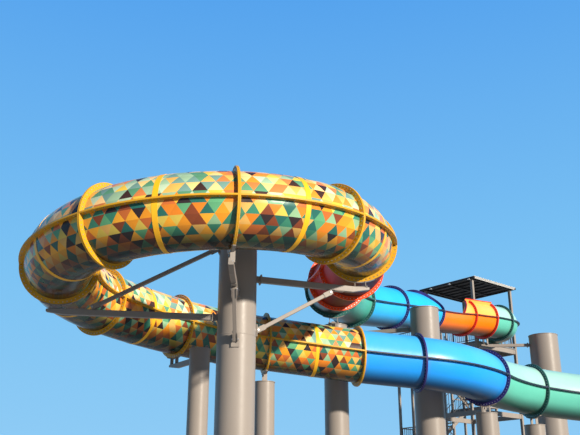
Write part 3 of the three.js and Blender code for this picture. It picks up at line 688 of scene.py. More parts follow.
def box(shape, centre, size, look, turn=0.0, tilt=None):
    """A box with small bevels on its upright edges, turned about Z or placed by a matrix."""
    matrix = tilt or Matrix.Translation(centre) @ Matrix.Rotation(math.radians(turn), 4, "Z")
    x, y, z = (s / 2 for s in size)
    b = min(BEVEL_SHARE * min(x, y), BEVEL)
    outline = [
        (x, b - y), (x, y - b), (x - b, y), (b - x, y),
        (-x, y - b), (-x, b - y), (b - x, -y), (x - b, -y),
    ]
    inset = [(u * (1 - b / x), v * (1 - b / y)) for u, v in outline]
    levels = ((-z, inset), (-z + b, outline), (z - b, outline), (z, inset))
    rows = [[matrix @ Vector((u, v, level)) for u, v in ring] for level, ring in levels]
    loft(shape, rows, look)


def ring_of(centre, side, up, radius, sides):
    """Corners of a regular polygon, in the plane of two directions."""
    angles = [2 * math.pi * i / sides for i in range(sides)]
    return [centre + (side * math.cos(a) + up * math.sin(a)) * radius for a in angles]


def rod(shape, start, end, radius, look, sides):
    """A round bar between two points."""
    ahead = (end - start).normalized()
    side = ahead.orthogonal().normalized()
    up = ahead.cross(side)
    loft(shape, [ring_of(centre, side, up, radius, sides) for centre in (start, end)], look)


def bolt(shape, centre, axis, reach):
    """A hexagonal head and nut on the two outer faces of a bolted joint."""
    for hand in (-1, 1):
        foot, top = centre + axis * reach * hand, centre + axis * (reach + BOLT_HEIGHT) * hand
        side = axis.orthogonal().normalized()
        up = axis.cross(side)
        loft(shape, [ring_of(middle, side, up, BOLT_HEAD, 6) for middle in (foot, top)], "bolt")


# Tubes

def half_arc(radius, half, reach):
    """Points of an arc from the right seam over the crown, or under the keel, as far as reach."""
    first = math.asin(HALF_GAP / radius)
    angles = spread(first, min(reach, math.pi - first), ARC_STEPS)
    return [(radius * math.cos(a), half * radius * math.sin(a), a) for a in angles]


class Section:
    """One section of a tube: where it starts, its leg of the path and the way that lies before it."""

    def __init__(self, rings, legs, number):
        self.start = rings[number]
        self.leg = legs[number]
        self.length = self.leg[0]
        self.travelled = sum(before[0] for before in legs[:number])

    def at(self, distance):
        return along(self.start, self.leg, distance / self.length)


def shell(shape, section, half, look, first, last, reach):
    """One section's half shell. First and last give where its ends lie for a height above the seam."""
    outline = half_arc(SHELL_RADIUS, half, reach) + half_arc(INNER_RADIUS, half, reach)[::-1]
    count = max(4, round(section.length / ROW_SPACING))
    rows, panels = [], []
    for k in range(count + 1):
        row, panel = [], []
        for right, up, angle in outline:
            low = first(abs(up)) if first else 0.0
            high = last(abs(up)) if last else section.length
            distance = low + (high - low) * k / count
            row.append(section.at(distance).point(right, up))
            edge = min(distance, section.length - distance)
            panel.append((section.travelled + distance, SHELL_RADIUS * angle * half, edge))
        rows.append(row)
        panels.append(panel)
    loft(shape, rows, look, panels)


def hoop(shape, section, half, angles, profile, look, edge=None):
    """A profile of radius and distance pairs taken round one half, from the edge if there is one."""
    rows = []
    for angle in angles:
        base = edge(SHELL_RADIUS * math.sin(angle)) if edge else 0.0
        row = []
        for radius, ahead in profile:
            up = max(radius * math.sin(angle), HALF_GAP) * half
            row.append(section.at(base + ahead).point(radius * math.cos(angle), up))
        rows.append(row)
    loft(shape, rows, look)


def strip(shape, section, low, high, profile, look):
    """A profile of right and up pairs taken along a section, from one distance to another."""
    rows = []
    for distance in spread(low, high, max(4, round((high - low) / ROW_SPACING))):
        station = section.at(distance)
        rows.append([station.point(right, up) for right, up in profile])
    loft(shape, rows, look)


def ring_plate(shape, section, part, half, look, reach):
    """Bolting flange of one half section: a flat half ring with a small round at its rim."""
    base = HALF_GAP if part == 0 else section.length - HALF_GAP - RING_THICKNESS
    profile = [
        (INNER_RADIUS, base),
        (FLANGE_RADIUS - EDGE_ROUND, base),
        (FLANGE_RADIUS, base + EDGE_ROUND),
        (FLANGE_RADIUS, base + RING_THICKNESS - EDGE_ROUND),
        (FLANGE_RADIUS - EDGE_ROUND, base + RING_THICKNESS),
        (INNER_RADIUS, base + RING_THICKNESS),
    ]
    hoop(shape, section, half, spread(0.0, reach, ARC_STEPS), profile, look)


def seam_plate(shape, section, hand, half, look, low, high):
    """Side flange where the upper and lower shells are bolted together."""
    inner = SHELL_RADIUS - SHELL_THICKNESS / 2
    profile = [
        (inner, HALF_GAP),
        (FLANGE_RADIUS, HALF_GAP),
        (FLANGE_RADIUS, SEAM_THICKNESS - EDGE_ROUND),
        (FLANGE_RADIUS - EDGE_ROUND, SEAM_THICKNESS),
        (inner, SEAM_THICKNESS),
    ]
    strip(shape, section, low, high, [(hand * right, up * half) for right, up in profile], look)


def band(shape, section, half, look):
    """Flat coloured band round the middle of a section."""
    inner, outer = SHELL_RADIUS - BAND_DEPTH, SHELL_RADIUS + BAND_THICKNESS
    low, high = (section.length - BAND_WIDTH) / 2, (section.length + BAND_WIDTH) / 2
    profile = [(inner, low), (outer, low), (outer, high), (inner, high)]
    first = math.asin(SEAM_THICKNESS / SHELL_RADIUS)
    hoop(shape, section, half, spread(first, math.pi - first, ARC_STEPS), profile, look)


def rim(shape, section, edge, inward, look, reach):
    """Upstanding lip along a cover's free edge, which edge gives for a height above the seam."""
    width = inward * RIM_WIDTH
    profile = [(INNER_RADIUS, 0), (FLANGE_RADIUS, 0), (FLANGE_RADIUS, width), (SHELL_RADIUS, width)]
    hoop(shape, section, 1, spread(0.0, reach, ARC_STEPS), profile, look, edge)


def crown_rim(shape, section, edge):
    """Stiff upstanding rim along the hood's crown, from its front edge to its last ring."""
    cos, sin = math.cos(HOOD_ANGLE), math.sin(HOOD_ANGLE)
    low = edge(SHELL_RADIUS * sin) if edge else 0.0
    middle, top = HOOD_RIM_RADII
    for inner, outer, look in ((INNER_RADIUS, middle, "amber"), (middle, top, "red_trim")):
        corners = ((inner, 0), (outer, 0), (outer, SEAM_THICKNESS), (inner, SEAM_THICKNESS))
        profile = [(radius * cos - back * sin, radius * sin + back * cos) for radius, back in corners]
        strip(shape, section, low, section.length - HALF_GAP, profile, look)


def ring_bolts(shape, ring, reach):
    """Bolts all round the lower half of a ring, and over the upper half as far as reach."""
    for i in range(BOLTS_PER_RING):
        angle = 2 * math.pi * (i + 0.5) / BOLTS_PER_RING
        if angle < reach or angle > math.pi:
            centre = ring.point(BOLT_CIRCLE * math.cos(angle), BOLT_CIRCLE * math.sin(angle))
            bolt(shape, centre, ring.forward, RING_THICKNESS)


def seam_bolts(shape, section, low, high, hands):
    count = round((high - low) / SEAM_BOLT_SPACING)
    for k in range(count):
        station = section.at(low + (high - low) * (k + 0.5) / count)
        for hand in hands:
            bolt(shape, station.point(hand * BOLT_CIRCLE, 0), UP, SEAM_THICKNESS)


def cover_edge(height):
    """The blue cover sweeps down to the open flume in a soft curve."""
    share = min(height / SHELL_RADIUS, 1)
    return COVER_END * INLET_LEGS[COVER_LEG][0] - COVER_LEAN * share * share * (3 - 2 * share)


def hood_edge(height):
    return HOOD_START * INLET_LEGS[HOOD_LEG][0] + HOOD_LEAN * height / SHELL_RADIUS


# Looks of a section's shells and of its seams
MOSAIC = ("mosaic", "ochre_trim")
BLUE = ("blue", "dark_seam")
SKY = ("sky", "dark_seam")
MINT = ("mint", "dark_seam")
RED = ("red", "vermilion_trim")
ORANGE = ("orange", "maroon_trim")
DARK_TEAL = ("dark_teal", "green_trim")
TEAL = ("teal", "green_trim")
# Looks of a half shell, by the section's look and its half: the upper halves are paler, in painted
# sunlight and sheen
HALF_LOOKS = {
    ("mosaic", 1): "mosaic_upper",
    ("mosaic", -1): "mosaic_lower",
    ("mint", 1): "pale_mint",
    ("blue", 1): "pale_blue",
    ("orange", 1): "amber",
}
# Each run of two sections: its upper and lower node, its first leg, and each section's looks
FLOW_RUNS = (
    ("coil_east_upper", "coil_east_lower", 0, (MOSAIC, MOSAIC)),
    ("coil_west_upper", "coil_west_lower", 2, (MOSAIC, MOSAIC)),
    ("coil_back_upper", "coil_back_lower", 4, (MOSAIC, MOSAIC)),
    ("lower_run_upper", "lower_run_lower", 6, (MOSAIC, MOSAIC)),
    ("blue_outlet_upper", "blue_outlet_lower", 8, (BLUE, BLUE)),
    ("teal_outlet_upper", "teal_outlet_lower", 10, (MINT, MINT)),
)
INLET_RUNS = (
    ("red_inlet_upper", "red_inlet_lower", 0, (RED, RED)),
    # Its first section is a darker teal: painted shade
    ("teal_inlet_upper", "teal_inlet_lower", 2, (DARK_TEAL, TEAL)),
    ("blue_inlet_upper", "blue_inlet_lower", 4, (SKY, SKY)),
    ("orange_hood", "orange_flume", 6, (ORANGE, ORANGE)),
    ("start_tube_upper", "start_tube_lower", 8, (MINT, MINT)),
)
# The mosaic tubes' flanges in ochre, partly painted shade
FLOW_RING_LOOKS = ("ochre_trim",) * 9 + ("navy_trim",) * 2 + ("green_trim",) * 2
INLET_RING_LOOKS = (
    ("yellow_trim",)
    + ("vermilion_trim",) * 2
    + ("green_trim",) * 2
    + ("navy_trim",) * 2
    + ("red_trim",) * 2
    + ("green_trim",) * 2
)
# How far over the upper half the bolts go at the rings of the open flume and its hood
INLET_BOLT_REACH = {6: 0.0, 7: HOOD_ANGLE, 8: HOOD_ANGLE}
# Free edges at the start and at the end of the upper halves beside the open flume
INLET_EDGES = {COVER_LEG: (None, cover_edge), HOOD_LEG: (hood_edge, None)}


def half_section(shells, trim, section, half, looks, ring_looks, edges=(None, None), reach=math.pi):
    """Shell, end rings or free edges, seam plates and middle band of one half of a section."""
    look, seam_look = looks
    if look == "mosaic":
        band(trim, section, half, "yellow_trim")
    first, last = edges
    shell(shells, section, half, HALF_LOOKS.get((look, half), look), first, last, reach)
    if first:
        rim(trim, section, first, 1, "red_trim", reach)
    else:
        ring_plate(trim, section, 0, half, ring_looks[0], reach)
    if last:
        rim(trim, section, last, -1, "navy_trim", reach)
    else:
        ring_plate(trim, section, 1, half, ring_looks[1], reach)
    low = first(0) if first else RING_THICKNESS
    high = last(0) if last else section.length - RING_THICKNESS
    hands = (-1, 1) if reach == math.pi else (1,)
    for hand in hands:
        seam_plate(trim, section, hand, half, seam_look, low, high)
    return low, high, hands


def tube_run(rings, legs, ring_looks, upper, lower, first, looks):
    """Two sections in a row: the shells and flanges of both halves, and their bolts."""
    bolts = Shape()
    upper_shells, upper_trim, lower_shells, lower_trim = Shape(), Shape(), Shape(), Shape()
    for i in (first, first + 1):
        edges, reach, bolt_reach = (None, None), math.pi, math.pi
        if rings is inlet_rings:
            edges = INLET_EDGES.get(i, edges)
            bolt_reach = INLET_BOLT_REACH.get(i, math.pi)
        if upper == "orange_hood":
            reach = HOOD_ANGLE
        section = Section(rings, legs, i)
        shared = (looks[i - first], ring_looks[i:i + 2])
        half_section(lower_shells, lower_trim, section, -1, *shared)
        low, high, hands = half_section(upper_shells, upper_trim, section, 1, *shared, edges, reach)
        if reach == HOOD_ANGLE:
            crown_rim(upper_trim, section, edges[0])
        seam_bolts(bolts, section, low, high, hands)
        ring_bolts(bolts, rings[i], bolt_reach)
    for name, shells, trim in ((upper, upper_shells, upper_trim), (lower, lower_shells, lower_trim)):
        shells.make(f"{name}_shells", (name,))
        trim.make(f"{name}_flanges")
    bolts.make(f"{lower}_bolts")


for run in FLOW_RUNS:
    tube_run(flow_rings, FLOW_LEGS, FLOW_RING_LOOKS, *run)
for run in INLET_RUNS:
    tube_run(inlet_rings, INLET_LEGS, INLET_RING_LOOKS, *run)


# Steelwork helpers

def axes(centre, ahead, up=UP):
    """A matrix whose X runs ahead and whose Z is as near to up as it can be."""
    ahead = ahead.normalized()
    side = up.cross(ahead).normalized()
    top = ahead.cross(side)
    matrix = Matrix((ahead, side, top)).transposed().to_4x4()
    matrix.translation = centre
    return matrix


def turned(shape, x, y, profile, look, sides=64):
    """A solid of revolution about an upright axis, from (radius, height) pairs."""
    angles = [2 * math.pi * i / sides for i in range(sides)]
    rows = []
    for radius, z in profile:
        rows.append([Vector((x + radius * math.cos(a), y + radius * math.sin(a), z)) for a in angles])
    loft(shape, rows, look)


def beam(shape, start, end, width, depth, end_depth=None):
    """A square-cut box section whose top stays straight where it tapers."""
    matrix = axes(start, end - start)
    length = (end - start).length
    w, b = width / 2, BEVEL
    rows = []
    for ahead, low in ((0.0, depth), (length, end_depth or depth)):
        top, foot = depth / 2, depth / 2 - low
        outline = [
            (-w + b, foot), (w - b, foot), (w, foot + b), (w, top - b),
            (w - b, top), (b - w, top), (-w, top - b), (-w, foot + b),
        ]
        rows.append([matrix @ Vector((ahead, across, up)) for across, up in outline])
    loft(shape, rows, "steel")


def plate(shape, centre, normal, size, thickness, up=UP):
    """A square-edged plate across a direction: size is its width and its height."""
    box(shape, centre, (thickness, *size), "steel", tilt=axes(centre, normal, up))


def bolted_plates(shape, bolts, centre, normal, size):
    """Two end plates face to face, with a bolt near each corner."""
    for hand in (-1, 1):
        plate(shape, centre + normal * hand * END_PLATE / 2, normal, size, END_PLATE)
    matrix = axes(centre, normal)
    reach, rise = (side / 2 - PLATE_BOLT_INSET for side in size)
    for across in (-1, 1):
        for high in (-1, 1):
            bolt(bolts, matrix @ Vector((0, across * reach, high * rise)), normal, END_PLATE)


# Columns

def column_body(shape, bolts, x, y, radius, height):
    """Pipe in welded lengths under a cap plate, on a ribbed base plate with anchor bolts."""
    pipe = [(radius, BASE_PLATE)]
    for i in range(1, int(height / PIPE_LENGTH) + 1):
        z = height - i * PIPE_LENGTH
        if z > LOWEST_WELD:
            crown = radius + WELD_RISE
            pipe[1:1] = [
                (radius, z - WELD_HALF), (crown, z - WELD_CROWN),
                (crown, z + WELD_CROWN), (radius, z + WELD_HALF),
            ]
    cap = radius + CAP_MARGIN
    pipe += [
        (radius, height - CAP_PLATE), (cap, height - CAP_PLATE),
        (cap, height - CAP_BEVEL), (cap - CAP_BEVEL, height),
    ]
    turned(shape, x, y, pipe, "steel")
    side = 2 * (radius + BASE_MARGIN)
    box(shape, Vector((x, y, BASE_PLATE / 2)), (side, side, BASE_PLATE), "steel")
    turned(shape, x, y, [(radius + FILLET, BASE_PLATE - OVERLAP), (radius, BASE_PLATE + FILLET)], "steel")
    for i in range(RIBS):
        angle = math.radians(360 * (i + 0.5) / RIBS)
        outward = Vector((math.cos(angle), math.sin(angle), 0))
        across = Vector((-outward.y, outward.x, 0)) * RIB_THICKNESS / 2
        foot = Vector((x, y, BASE_PLATE)) + outward * (radius - RIB_ROOT)
        corners = [
            foot, foot + outward * RIB_REACH, foot + outward * RIB_REACH + UP * RIB_TOE,
            foot + outward * RIB_TOE + UP * RIB_HEIGHT, foot + UP * RIB_HEIGHT,
        ]
        loft(shape, [[p - across for p in corners], [p + across for p in corners]], "steel")
    reach = side / 2 - ANCHOR_INSET
    for i in range(-1, 2):
        for j in range(-1, 2):
            if i or j:
                anchor(bolts, Vector((x + i * reach, y + j * reach, BASE_PLATE)), ANCHOR_RADIUS)


def anchor(shape, foot, radius):
    """Washer, nut and the end of an anchor rod."""
    for share, low, high, sides in ANCHOR_STEPS:
        profile = [(radius * share, foot.z + low), (radius * share, foot.z + high)]
        turned(shape, foot.x, foot.y, profile, "bolt", sides)


def cap_lugs(shape, x, y, height):
    """Two lifting eyes on the cap."""
    for hand in (-1, 1):
        spot = Vector((x + hand * LUG_OFFSET, y, height))
        rows = [[spot + Vector((u, v, w)) for u, w in LUG_OUTLINE] for v in (-LUG_HALF, LUG_HALF)]
        loft(shape, rows, "steel")


# Saddles and arms

def saddle(shape, bolts, ring, slope, sole_top):
    """Rolled band under a bolted ring, on two stub plates and a sole plate."""
    inner = FLANGE_RADIUS + SADDLE_GAP
    outer = inner + SADDLE_BAND
    rows = []
    for angle in spread(-SADDLE_REACH, SADDLE_REACH, SADDLE_STEPS):
        row = []
        for radius, hand in ((inner, -1), (outer, -1), (outer, 1), (inner, 1)):
            ahead = hand * SADDLE_WIDTH / 2
            up = -radius * math.cos(angle) - slope * ahead
            row.append(ring.point(radius * math.sin(angle), up, ahead))
        rows.append(row)
    loft(shape, rows, "steel")
    sole = Vector((ring.centre.x, ring.centre.y, sole_top - SADDLE_BAND / 2))
    box(shape, sole, (SADDLE_WIDTH, 2 * SOLE_HALF, SADDLE_BAND), "steel", ring.heading)
    keel = ring.centre.z - math.sqrt(inner ** 2 - STUB_OFFSET ** 2)
    stub_low, stub_high = sole_top - STUB_RISE, keel + STUB_SINK
    inset_ahead, inset_aside = SOLE_BOLT_INSET
    for hand in (-1, 1):
        foot = ring.centre + ring.side * hand * STUB_OFFSET
        middle = Vector((foot.x, foot.y, (stub_low + stub_high) / 2))
        box(shape, middle, (STUB_WIDTH, SADDLE_BAND, stub_high - stub_low), "steel", ring.heading)
        aside = ring.side * hand * (SOLE_HALF - inset_aside)
        for way in (-1, 1):
            ahead = ring.forward * way * (SADDLE_WIDTH / 2 - inset_ahead)
            bolt(bolts, sole + aside + ahead, UP, SADDLE_BAND / 2)


def arm_line(post, ring, top, rise):
    """Middle line of an arm: its start on the column's axis, its bend and its tip."""
    middle = top - ARM_DEPTH / 2
    outward = Vector((ring.centre.x - post[0], ring.centre.y - post[1], 0))
    length = outward.length
    outward.normalize()
    axis = Vector((post[0], post[1], 0))
    root = axis + UP * (middle - rise)
    bend = axis + outward * (length - ARM_HEAD) + UP * middle
    tip = axis + outward * (length + ARM_HEAD) + UP * middle
    return root, bend, tip


def arm_body(shape, bolts, post, radius, ring, top, rise):
    """Box arm: a stub welded to the column, bolted end plates, the arm and its tapered head."""
    root, bend, tip = arm_line(post, ring, top, rise)
    ahead = (bend - root).normalized()
    face = root + ahead * (radius + JOINT_GAP)
    joint = root + ahead * (radius + ARM_STUB)
    beam(shape, face, joint, ARM_WIDTH, ARM_DEPTH)
    bolted_plates(shape, bolts, joint + ahead * END_PLATE, ahead, ARM_END_PLATE)
    beam(shape, joint, bend + ahead * BEND_OVERLAP, ARM_WIDTH, ARM_DEPTH)
    beam(shape, bend, tip, ARM_WIDTH, ARM_DEPTH, ARM_TIP_DEPTH)
    return root, bend


def clevis(shape, spot, ahead, across):
    """Two ears with a pin, where a strut or tie ends."""
    for hand in (-1, 1):
        aside = across * hand * (BRACE_SIDE + EAR_THICKNESS) / 2
        middle = spot + ahead * EAR_SIZE[0] / 2 + aside
        plate(shape, middle, across, EAR_SIZE, EAR_THICKNESS, across.cross(ahead))
    reach = across * (BRACE_SIDE / 2 + PIN_END)
    pin = spot + ahead * PIN_PLACE
    rod(shape, pin - reach, pin + reach, PIN_RADIUS, "bolt", 16)


def brace_body(shape, post, radius, root, bend, height, part):
    """Square strut or tie between the column and an arm, with a clevis at both ends."""
    head = root.lerp(bend, part)
    foot = Vector((post[0], post[1], height))
    ahead = (head - foot).normalized()
    across = UP.cross(ahead).normalized()
    level = Vector((ahead.x, ahead.y, 0))
    outward = level.normalized()
    start = foot + ahead * ((radius + BRACE_PLATE_THICKNESS) / level.length)
    end = head - ahead * (ARM_DEPTH / 2 + PIN_PLACE) / abs(ahead.z)
    beam(shape, start, end, BRACE_SIDE, BRACE_SIDE)
    clevis(shape, start, ahead, across)
    clevis(shape, end, -ahead, across)
    wall = Vector((post[0], post[1], start.z)) + outward * (radius + BRACE_PLATE_OFFSET)
    plate(shape, wall, outward, BRACE_PLATE, BRACE_PLATE_THICKNESS)
    pad = head + UP * math.copysign(ARM_DEPTH / 2 + BRACE_PAD_OFFSET, -ahead.z)
    box(shape, pad, BRACE_PAD, "steel", tilt=axes(pad, bend - root))


def ring_slope(legs, ring):
    """Fall per length of the tube at one of its rings."""
    falls = [legs[i][2] / legs[i][0] for i in (max(ring - 1, 0), ring)]
    return sum(falls) / 2


# Main column with its three arms
main_body, main_bolts = Shape(), Shape()
column_body(main_body, main_bolts, 0, 0, MAIN_RADIUS, MAIN_HEIGHT)
cap_lugs(main_body, 0, 0, MAIN_HEIGHT)
main_body.make("main_column_pipe", ("main_column",))
main_bolts.make("main_column_anchors")

# Each arm: its name, ring, slope, saddle height and rise, then the node of its strut or tie, the height
# of that on the column and its part of the way along the arm
COIL_START_SLOPE = (ring_slope(FLOW_LEGS, 0) - ring_slope(INLET_LEGS, 0)) / 2
MAIN_ARMS = (
    ("east", 0, COIL_START_SLOPE, 0.113, -0.098, ("east_strut", 4.807, 0.88)),
    ("front", 2, ring_slope(FLOW_LEGS, 2), 0.205, 0.0, ("front_strut", 4.351, 0.66)),
    ("west", 4, ring_slope(FLOW_LEGS, 4), 0.090, 0.177, ("west_tie", 6.924, 0.895)),
)
for name, number, slope, saddle_height, rise, brace in MAIN_ARMS:
    ring = flow_rings[number]
    arm_top = ring.centre.z - FLANGE_RADIUS - saddle_height - JOINT_GAP
    seat, beams, strut, fixings = Shape(), Shape(), Shape(), Shape()
    saddle(seat, fixings, ring, slope, arm_top + JOINT_GAP + SADDLE_BAND)
    root, bend = arm_body(beams, fixings, (0, 0), MAIN_RADIUS, ring, arm_top, rise)
    brace_node, brace_height, brace_part = brace
    brace_body(strut, (0, 0), MAIN_RADIUS, root, bend, brace_height, brace_part)
    seat.make(f"{name}_saddle_band", (f"{name}_saddle",))
    beams.make(f"{name}_arm_beam", (f"{name}_arm",))
    strut.make(f"{brace_node}_bar", (brace_node,))
    fixings.make(f"{name}_arm_bolts")

# Columns straight under a ring: name, rings, legs, ring and radius.
for name, rings, legs, number, radius in (
    ("lower_run", flow_rings, FLOW_LEGS, 7, 0.26),
    ("outlet", flow_rings, FLOW_LEGS, 10, 0.3),
    ("outlet_end", flow_rings, FLOW_LEGS, 11, 0.3),
    ("cover", inlet_rings, INLET_LEGS, 6, 0.3),
):
    ring = rings[number]
    body, fixings = Shape(), Shape()
    height = ring.centre.z - FLANGE_RADIUS - UNDER_SADDLE_HEIGHT
    column_body(body, fixings, ring.centre.x, ring.centre.y, radius, height)
    saddle(body, fixings, ring, ring_slope(legs, number), height + SADDLE_BAND / 2)
    body.make(f"{name}_column_pipe", (f"{name}_column",))
    fixings.make(f"{name}_column_bolts")

# Columns beside the tube: name, place, radius, height, rings, legs, ring and saddle height.
for name, post, radius, height, rings, legs, number, saddle_height in (
    ("inlet", (2.85, 7.35), 0.34, 6.82, inlet_rings, INLET_LEGS, 3, 0.15),
    ("blue", (5.65, 8.0), 0.43, 7.53, inlet_rings, INLET_LEGS, 4, 0.15),
    ("coil_back", (-0.85, 3.3), 0.24, 5.3, flow_rings, FLOW_LEGS, 6, 0.15),
    ("hood", (12.9, 17.33), 0.59, 8.8, inlet_rings, INLET_LEGS, 8, 0.24),
):
    ring = rings[number]
    body, beams, fixings = Shape(), Shape(), Shape()
    column_body(body, fixings, post[0], post[1], radius, height)
    cap_lugs(body, post[0], post[1], height)
    arm_top = ring.centre.z - FLANGE_RADIUS - saddle_height
    saddle(beams, fixings, ring, ring_slope(legs, number), arm_top + SADDLE_BAND / 2)
    arm_body(beams, fixings, post, radius, ring, arm_top, 0.0)
    body.make(f"{name}_column_pipe", (f"{name}_column",))
    beams.make(f"{name}_arm_beam", (f"{name}_arm",))
    fixings.make(f"{name}_column_bolts")


# Start deck and stair, in the deck's own frame: u along its mouth side, v away from the mouth.

mouth = inlet_rings[-1]
DECK_AXES = (
    Matrix.Translation((mouth.centre.x, mouth.centre.y, 0))
    @ Matrix.Rotation(math.radians(DECK_ANGLE), 4, "Z")
    @ Matrix.Translation((-MOUTH_SHIFT, 0, 0))
)
deck_top = round(mouth.centre.z - SHELL_RADIUS, 3)
deck_left, deck_right = -DECK_WIDTH / 2, DECK_WIDTH / 2
deck_front, deck_back = HALF_GAP, DECK_DEPTH + HALF_GAP
roof_under = deck_top + ROOF_CLEAR_HEIGHT


def deck_point(u, v, z):
    return DECK_AXES @ Vector((u, v, z))


def about(middle, half):
    return (middle - half, middle + half)


def bays(low, high, count, gap):
    """Equal stretches from low to high, with a gap at the end of each."""
    step = (high - low) / count
    return [(low + step * i, low + step * (i + 1) - gap) for i in range(count)]


def deck_box(shape, us, vs, zs, look):
    """A box in the deck's frame, from its low and its high end along u, v and z."""
    ends = (us, vs, zs)
    middle = [(low + high) / 2 for low, high in ends]
    size = [high - low for low, high in ends]
    box(shape, None, size, look, tilt=DECK_AXES @ Matrix.Translation(middle))


def deck_rod(shape, start, end, radius, look, sides):
    rod(shape, deck_point(*start), deck_point(*end), radius, look, sides)


# Roof: edge channels and purlins, near-black as painted shade, under a pale ribbed sheet, with lamps
# along its left edge.
roof, roof_sheet = Shape(), Shape()
half_roof = ROOF_SIDE / 2
inner_half = half_roof - ROOF_CHANNEL
roof_middle = (deck_front + deck_back) / 2
roof_v0, roof_v1 = about(roof_middle, half_roof)
inner_v0, inner_v1 = about(roof_middle, inner_half)
sheet_low = roof_under + ROOF_THICKNESS - ROOF_CAP
sheet_high = sheet_low + SHEET_THICKNESS
for us, vs in (
    ((-half_roof, -inner_half), (roof_v0, roof_v1)),
    ((inner_half, half_roof), (roof_v0, roof_v1)),
    ((-inner_half, inner_half), (inner_v1, roof_v1)),
):
    deck_box(roof, us, vs, (roof_under, sheet_low), "roof_under")
zs = (roof_under + PURLIN_LIFT, sheet_low)
for u in spread(-inner_half, inner_half, PURLINS + 1)[1:-1]:
    deck_box(roof, about(u, PURLIN_HALF), (inner_v0, inner_v1), zs, "roof_under")
zs = (roof_under + OVERLAP, sheet_low - PURLIN_LIFT)
for v in (deck_front + CROSS_BEAM_INSET, roof_middle, deck_back - CROSS_BEAM_INSET):
    deck_box(roof, (-inner_half, inner_half), about(v, CROSS_BEAM_HALF), zs, "roof_under")
# A near-black plate under the sheet: painted shade
vs, zs = (inner_v0, roof_v1 - EDGE_INSET), (sheet_low - SHEET_THICKNESS, sheet_low - OVERLAP)
deck_box(roof, about(0, half_roof - EDGE_INSET), vs, zs, "roof_under")
for i, zs in enumerate(bays(roof_under, sheet_low, FASCIA_STEPS, FASCIA_GROOVE)):
    vs = (roof_v0 + FASCIA_REACH - FASCIA_LEAN * i, inner_v0)
    deck_box(roof_sheet, (-half_roof, half_roof), vs, zs, "roof_top")
deck_box(roof_sheet, (-half_roof, half_roof), (roof_v0, roof_v1), (sheet_low, sheet_high), "roof_top")
vs, zs = (roof_v0 + OVERLAP, roof_v1 - OVERLAP), (sheet_high - OVERLAP, roof_under + ROOF_THICKNESS)
for i in range(SHEET_RIBS):
    u = -half_roof + ROOF_SIDE * (i + 0.5) / SHEET_RIBS
    deck_box(roof_sheet, about(u, SHEET_RIB_HALF), vs, zs, "roof_top")
zs = (roof_under - LAMP_DEPTH, roof_under - LAMP_GAP)
for v in LAMP_PLACES:
    deck_box(roof_sheet, about(-half_roof, LAMP_HALF[0]), about(v, LAMP_HALF[1]), zs, "lamp")
roof.make("deck_roof_frame", ("deck_roof",))
roof_sheet.make("deck_roof_sheet")

# Floor: a plate with edge strips, hung between the posts.
floor_plate = Shape()
notch = POST_SIDE + JOINT_GAP
inner_us = (deck_left + notch, deck_right - notch)
zs = (deck_top - DECK_THICKNESS, deck_top - FLOOR_BOARD_RISE)
for us, vs in (
    (inner_us, (deck_front, deck_front + notch)),
    ((deck_left, deck_right), (deck_front + notch, deck_back - notch)),
    (inner_us, (deck_back - notch, deck_back)),
):
    deck_box(floor_plate, us, vs, zs, "deck")
vs, zs = (deck_front + EDGE_INSET, deck_back - EDGE_INSET), (deck_top - FLOOR_BOARD_HEIGHT, deck_top)
for us in bays(*inner_us, FLOOR_BOARDS, FLOOR_BOARD_GAP):
    deck_box(floor_plate, us, vs, zs, "deck")
floor_plate.make("deck_floor_boards", ("deck_floor",))


def split(start, end, bay):
    """Places along a straight line, about one bay apart, with both of its ends."""
    (u0, v0), (u1, v1) = start, end
    count = max(1, round(math.hypot(u1 - u0, v1 - v0) / bay))
    return list(zip(spread(u0, u1, count), spread(v0, v1, count)))


def balusters(shape, start, end, low, top, look):
    """Upright bars between two places, from one level to another."""
    for u, v in split(start, end, BALUSTER_SPACING)[1:-1]:
        deck_rod(shape, (u, v, low), (u, v, top), BALUSTER_RADIUS, look, 8)


def rail_run(shape, points, base, look):
    """Posts, top and foot rails and upright balusters along a line of places on one level."""
    top, low, foot = base + RAIL_HEIGHT - RAIL_SIDE / 2, base + FOOT_RAIL_HEIGHT, base + JOINT_GAP
    post = (RAIL_POST_SIDE / 2, base + RAIL_HEIGHT)
    post_foot = (RAIL_FOOT, foot + RAIL_FOOT_THICKNESS)
    for u, v in points:
        for half, high in (post, post_foot):
            deck_box(shape, about(u, half), about(v, half), (foot, high), look)
    for start, end in zip(points, points[1:]):
        deck_rod(shape, (*start, top), (*end, top), RAIL_SIDE / 2, look, 14)
        deck_rod(shape, (*start, low), (*end, low), FOOT_RAIL_RADIUS, look, 10)
        balusters(shape, start, end, low, top, look)


def post_anchors(shape, u, v, side):
    """An anchor bolt on both sides of a square post."""
    for hand in (-1, 1):
        spot = deck_point(u + hand * (side / 2 + POST_ANCHOR_OFFSET), v, POST_PLATE_TOP)
        anchor(shape, spot, POST_ANCHOR_RADIUS)


inset = POST_SIDE + RAIL_SIDE
rail_left, rail_right = deck_left + inset, deck_right - inset
rail_front, rail_back = deck_front + inset, deck_back - inset
stair_left = deck_left + POST_SIDE + LANDING_LENGTH
stair_right = stair_left + (RISERS - 1) * GOING
left_rail, right_rail = Shape(), Shape()
corner = (rail_left, rail_front)
rail_run(left_rail, [(MOUTH_SHIFT - MOUTH_HALF, rail_front), corner], deck_top, "dark_steel")
rail_run(left_rail, split(corner, (rail_left, rail_back), RAIL_BAY), deck_top, "dark_steel")
corner = (rail_right, rail_front)
for start, end in (
    ((MOUTH_SHIFT + MOUTH_HALF, rail_front), corner),
    (corner, (rail_right, rail_back)),
    ((rail_right, rail_back), (stair_left, rail_back)),
):
    rail_run(right_rail, split(start, end, RAIL_BAY), deck_top, "steel")
left_rail.make("deck_railing_left_bars", ("deck_railing_left",))
right_rail.make("deck_railing_right_bars", ("deck_railing_right",))

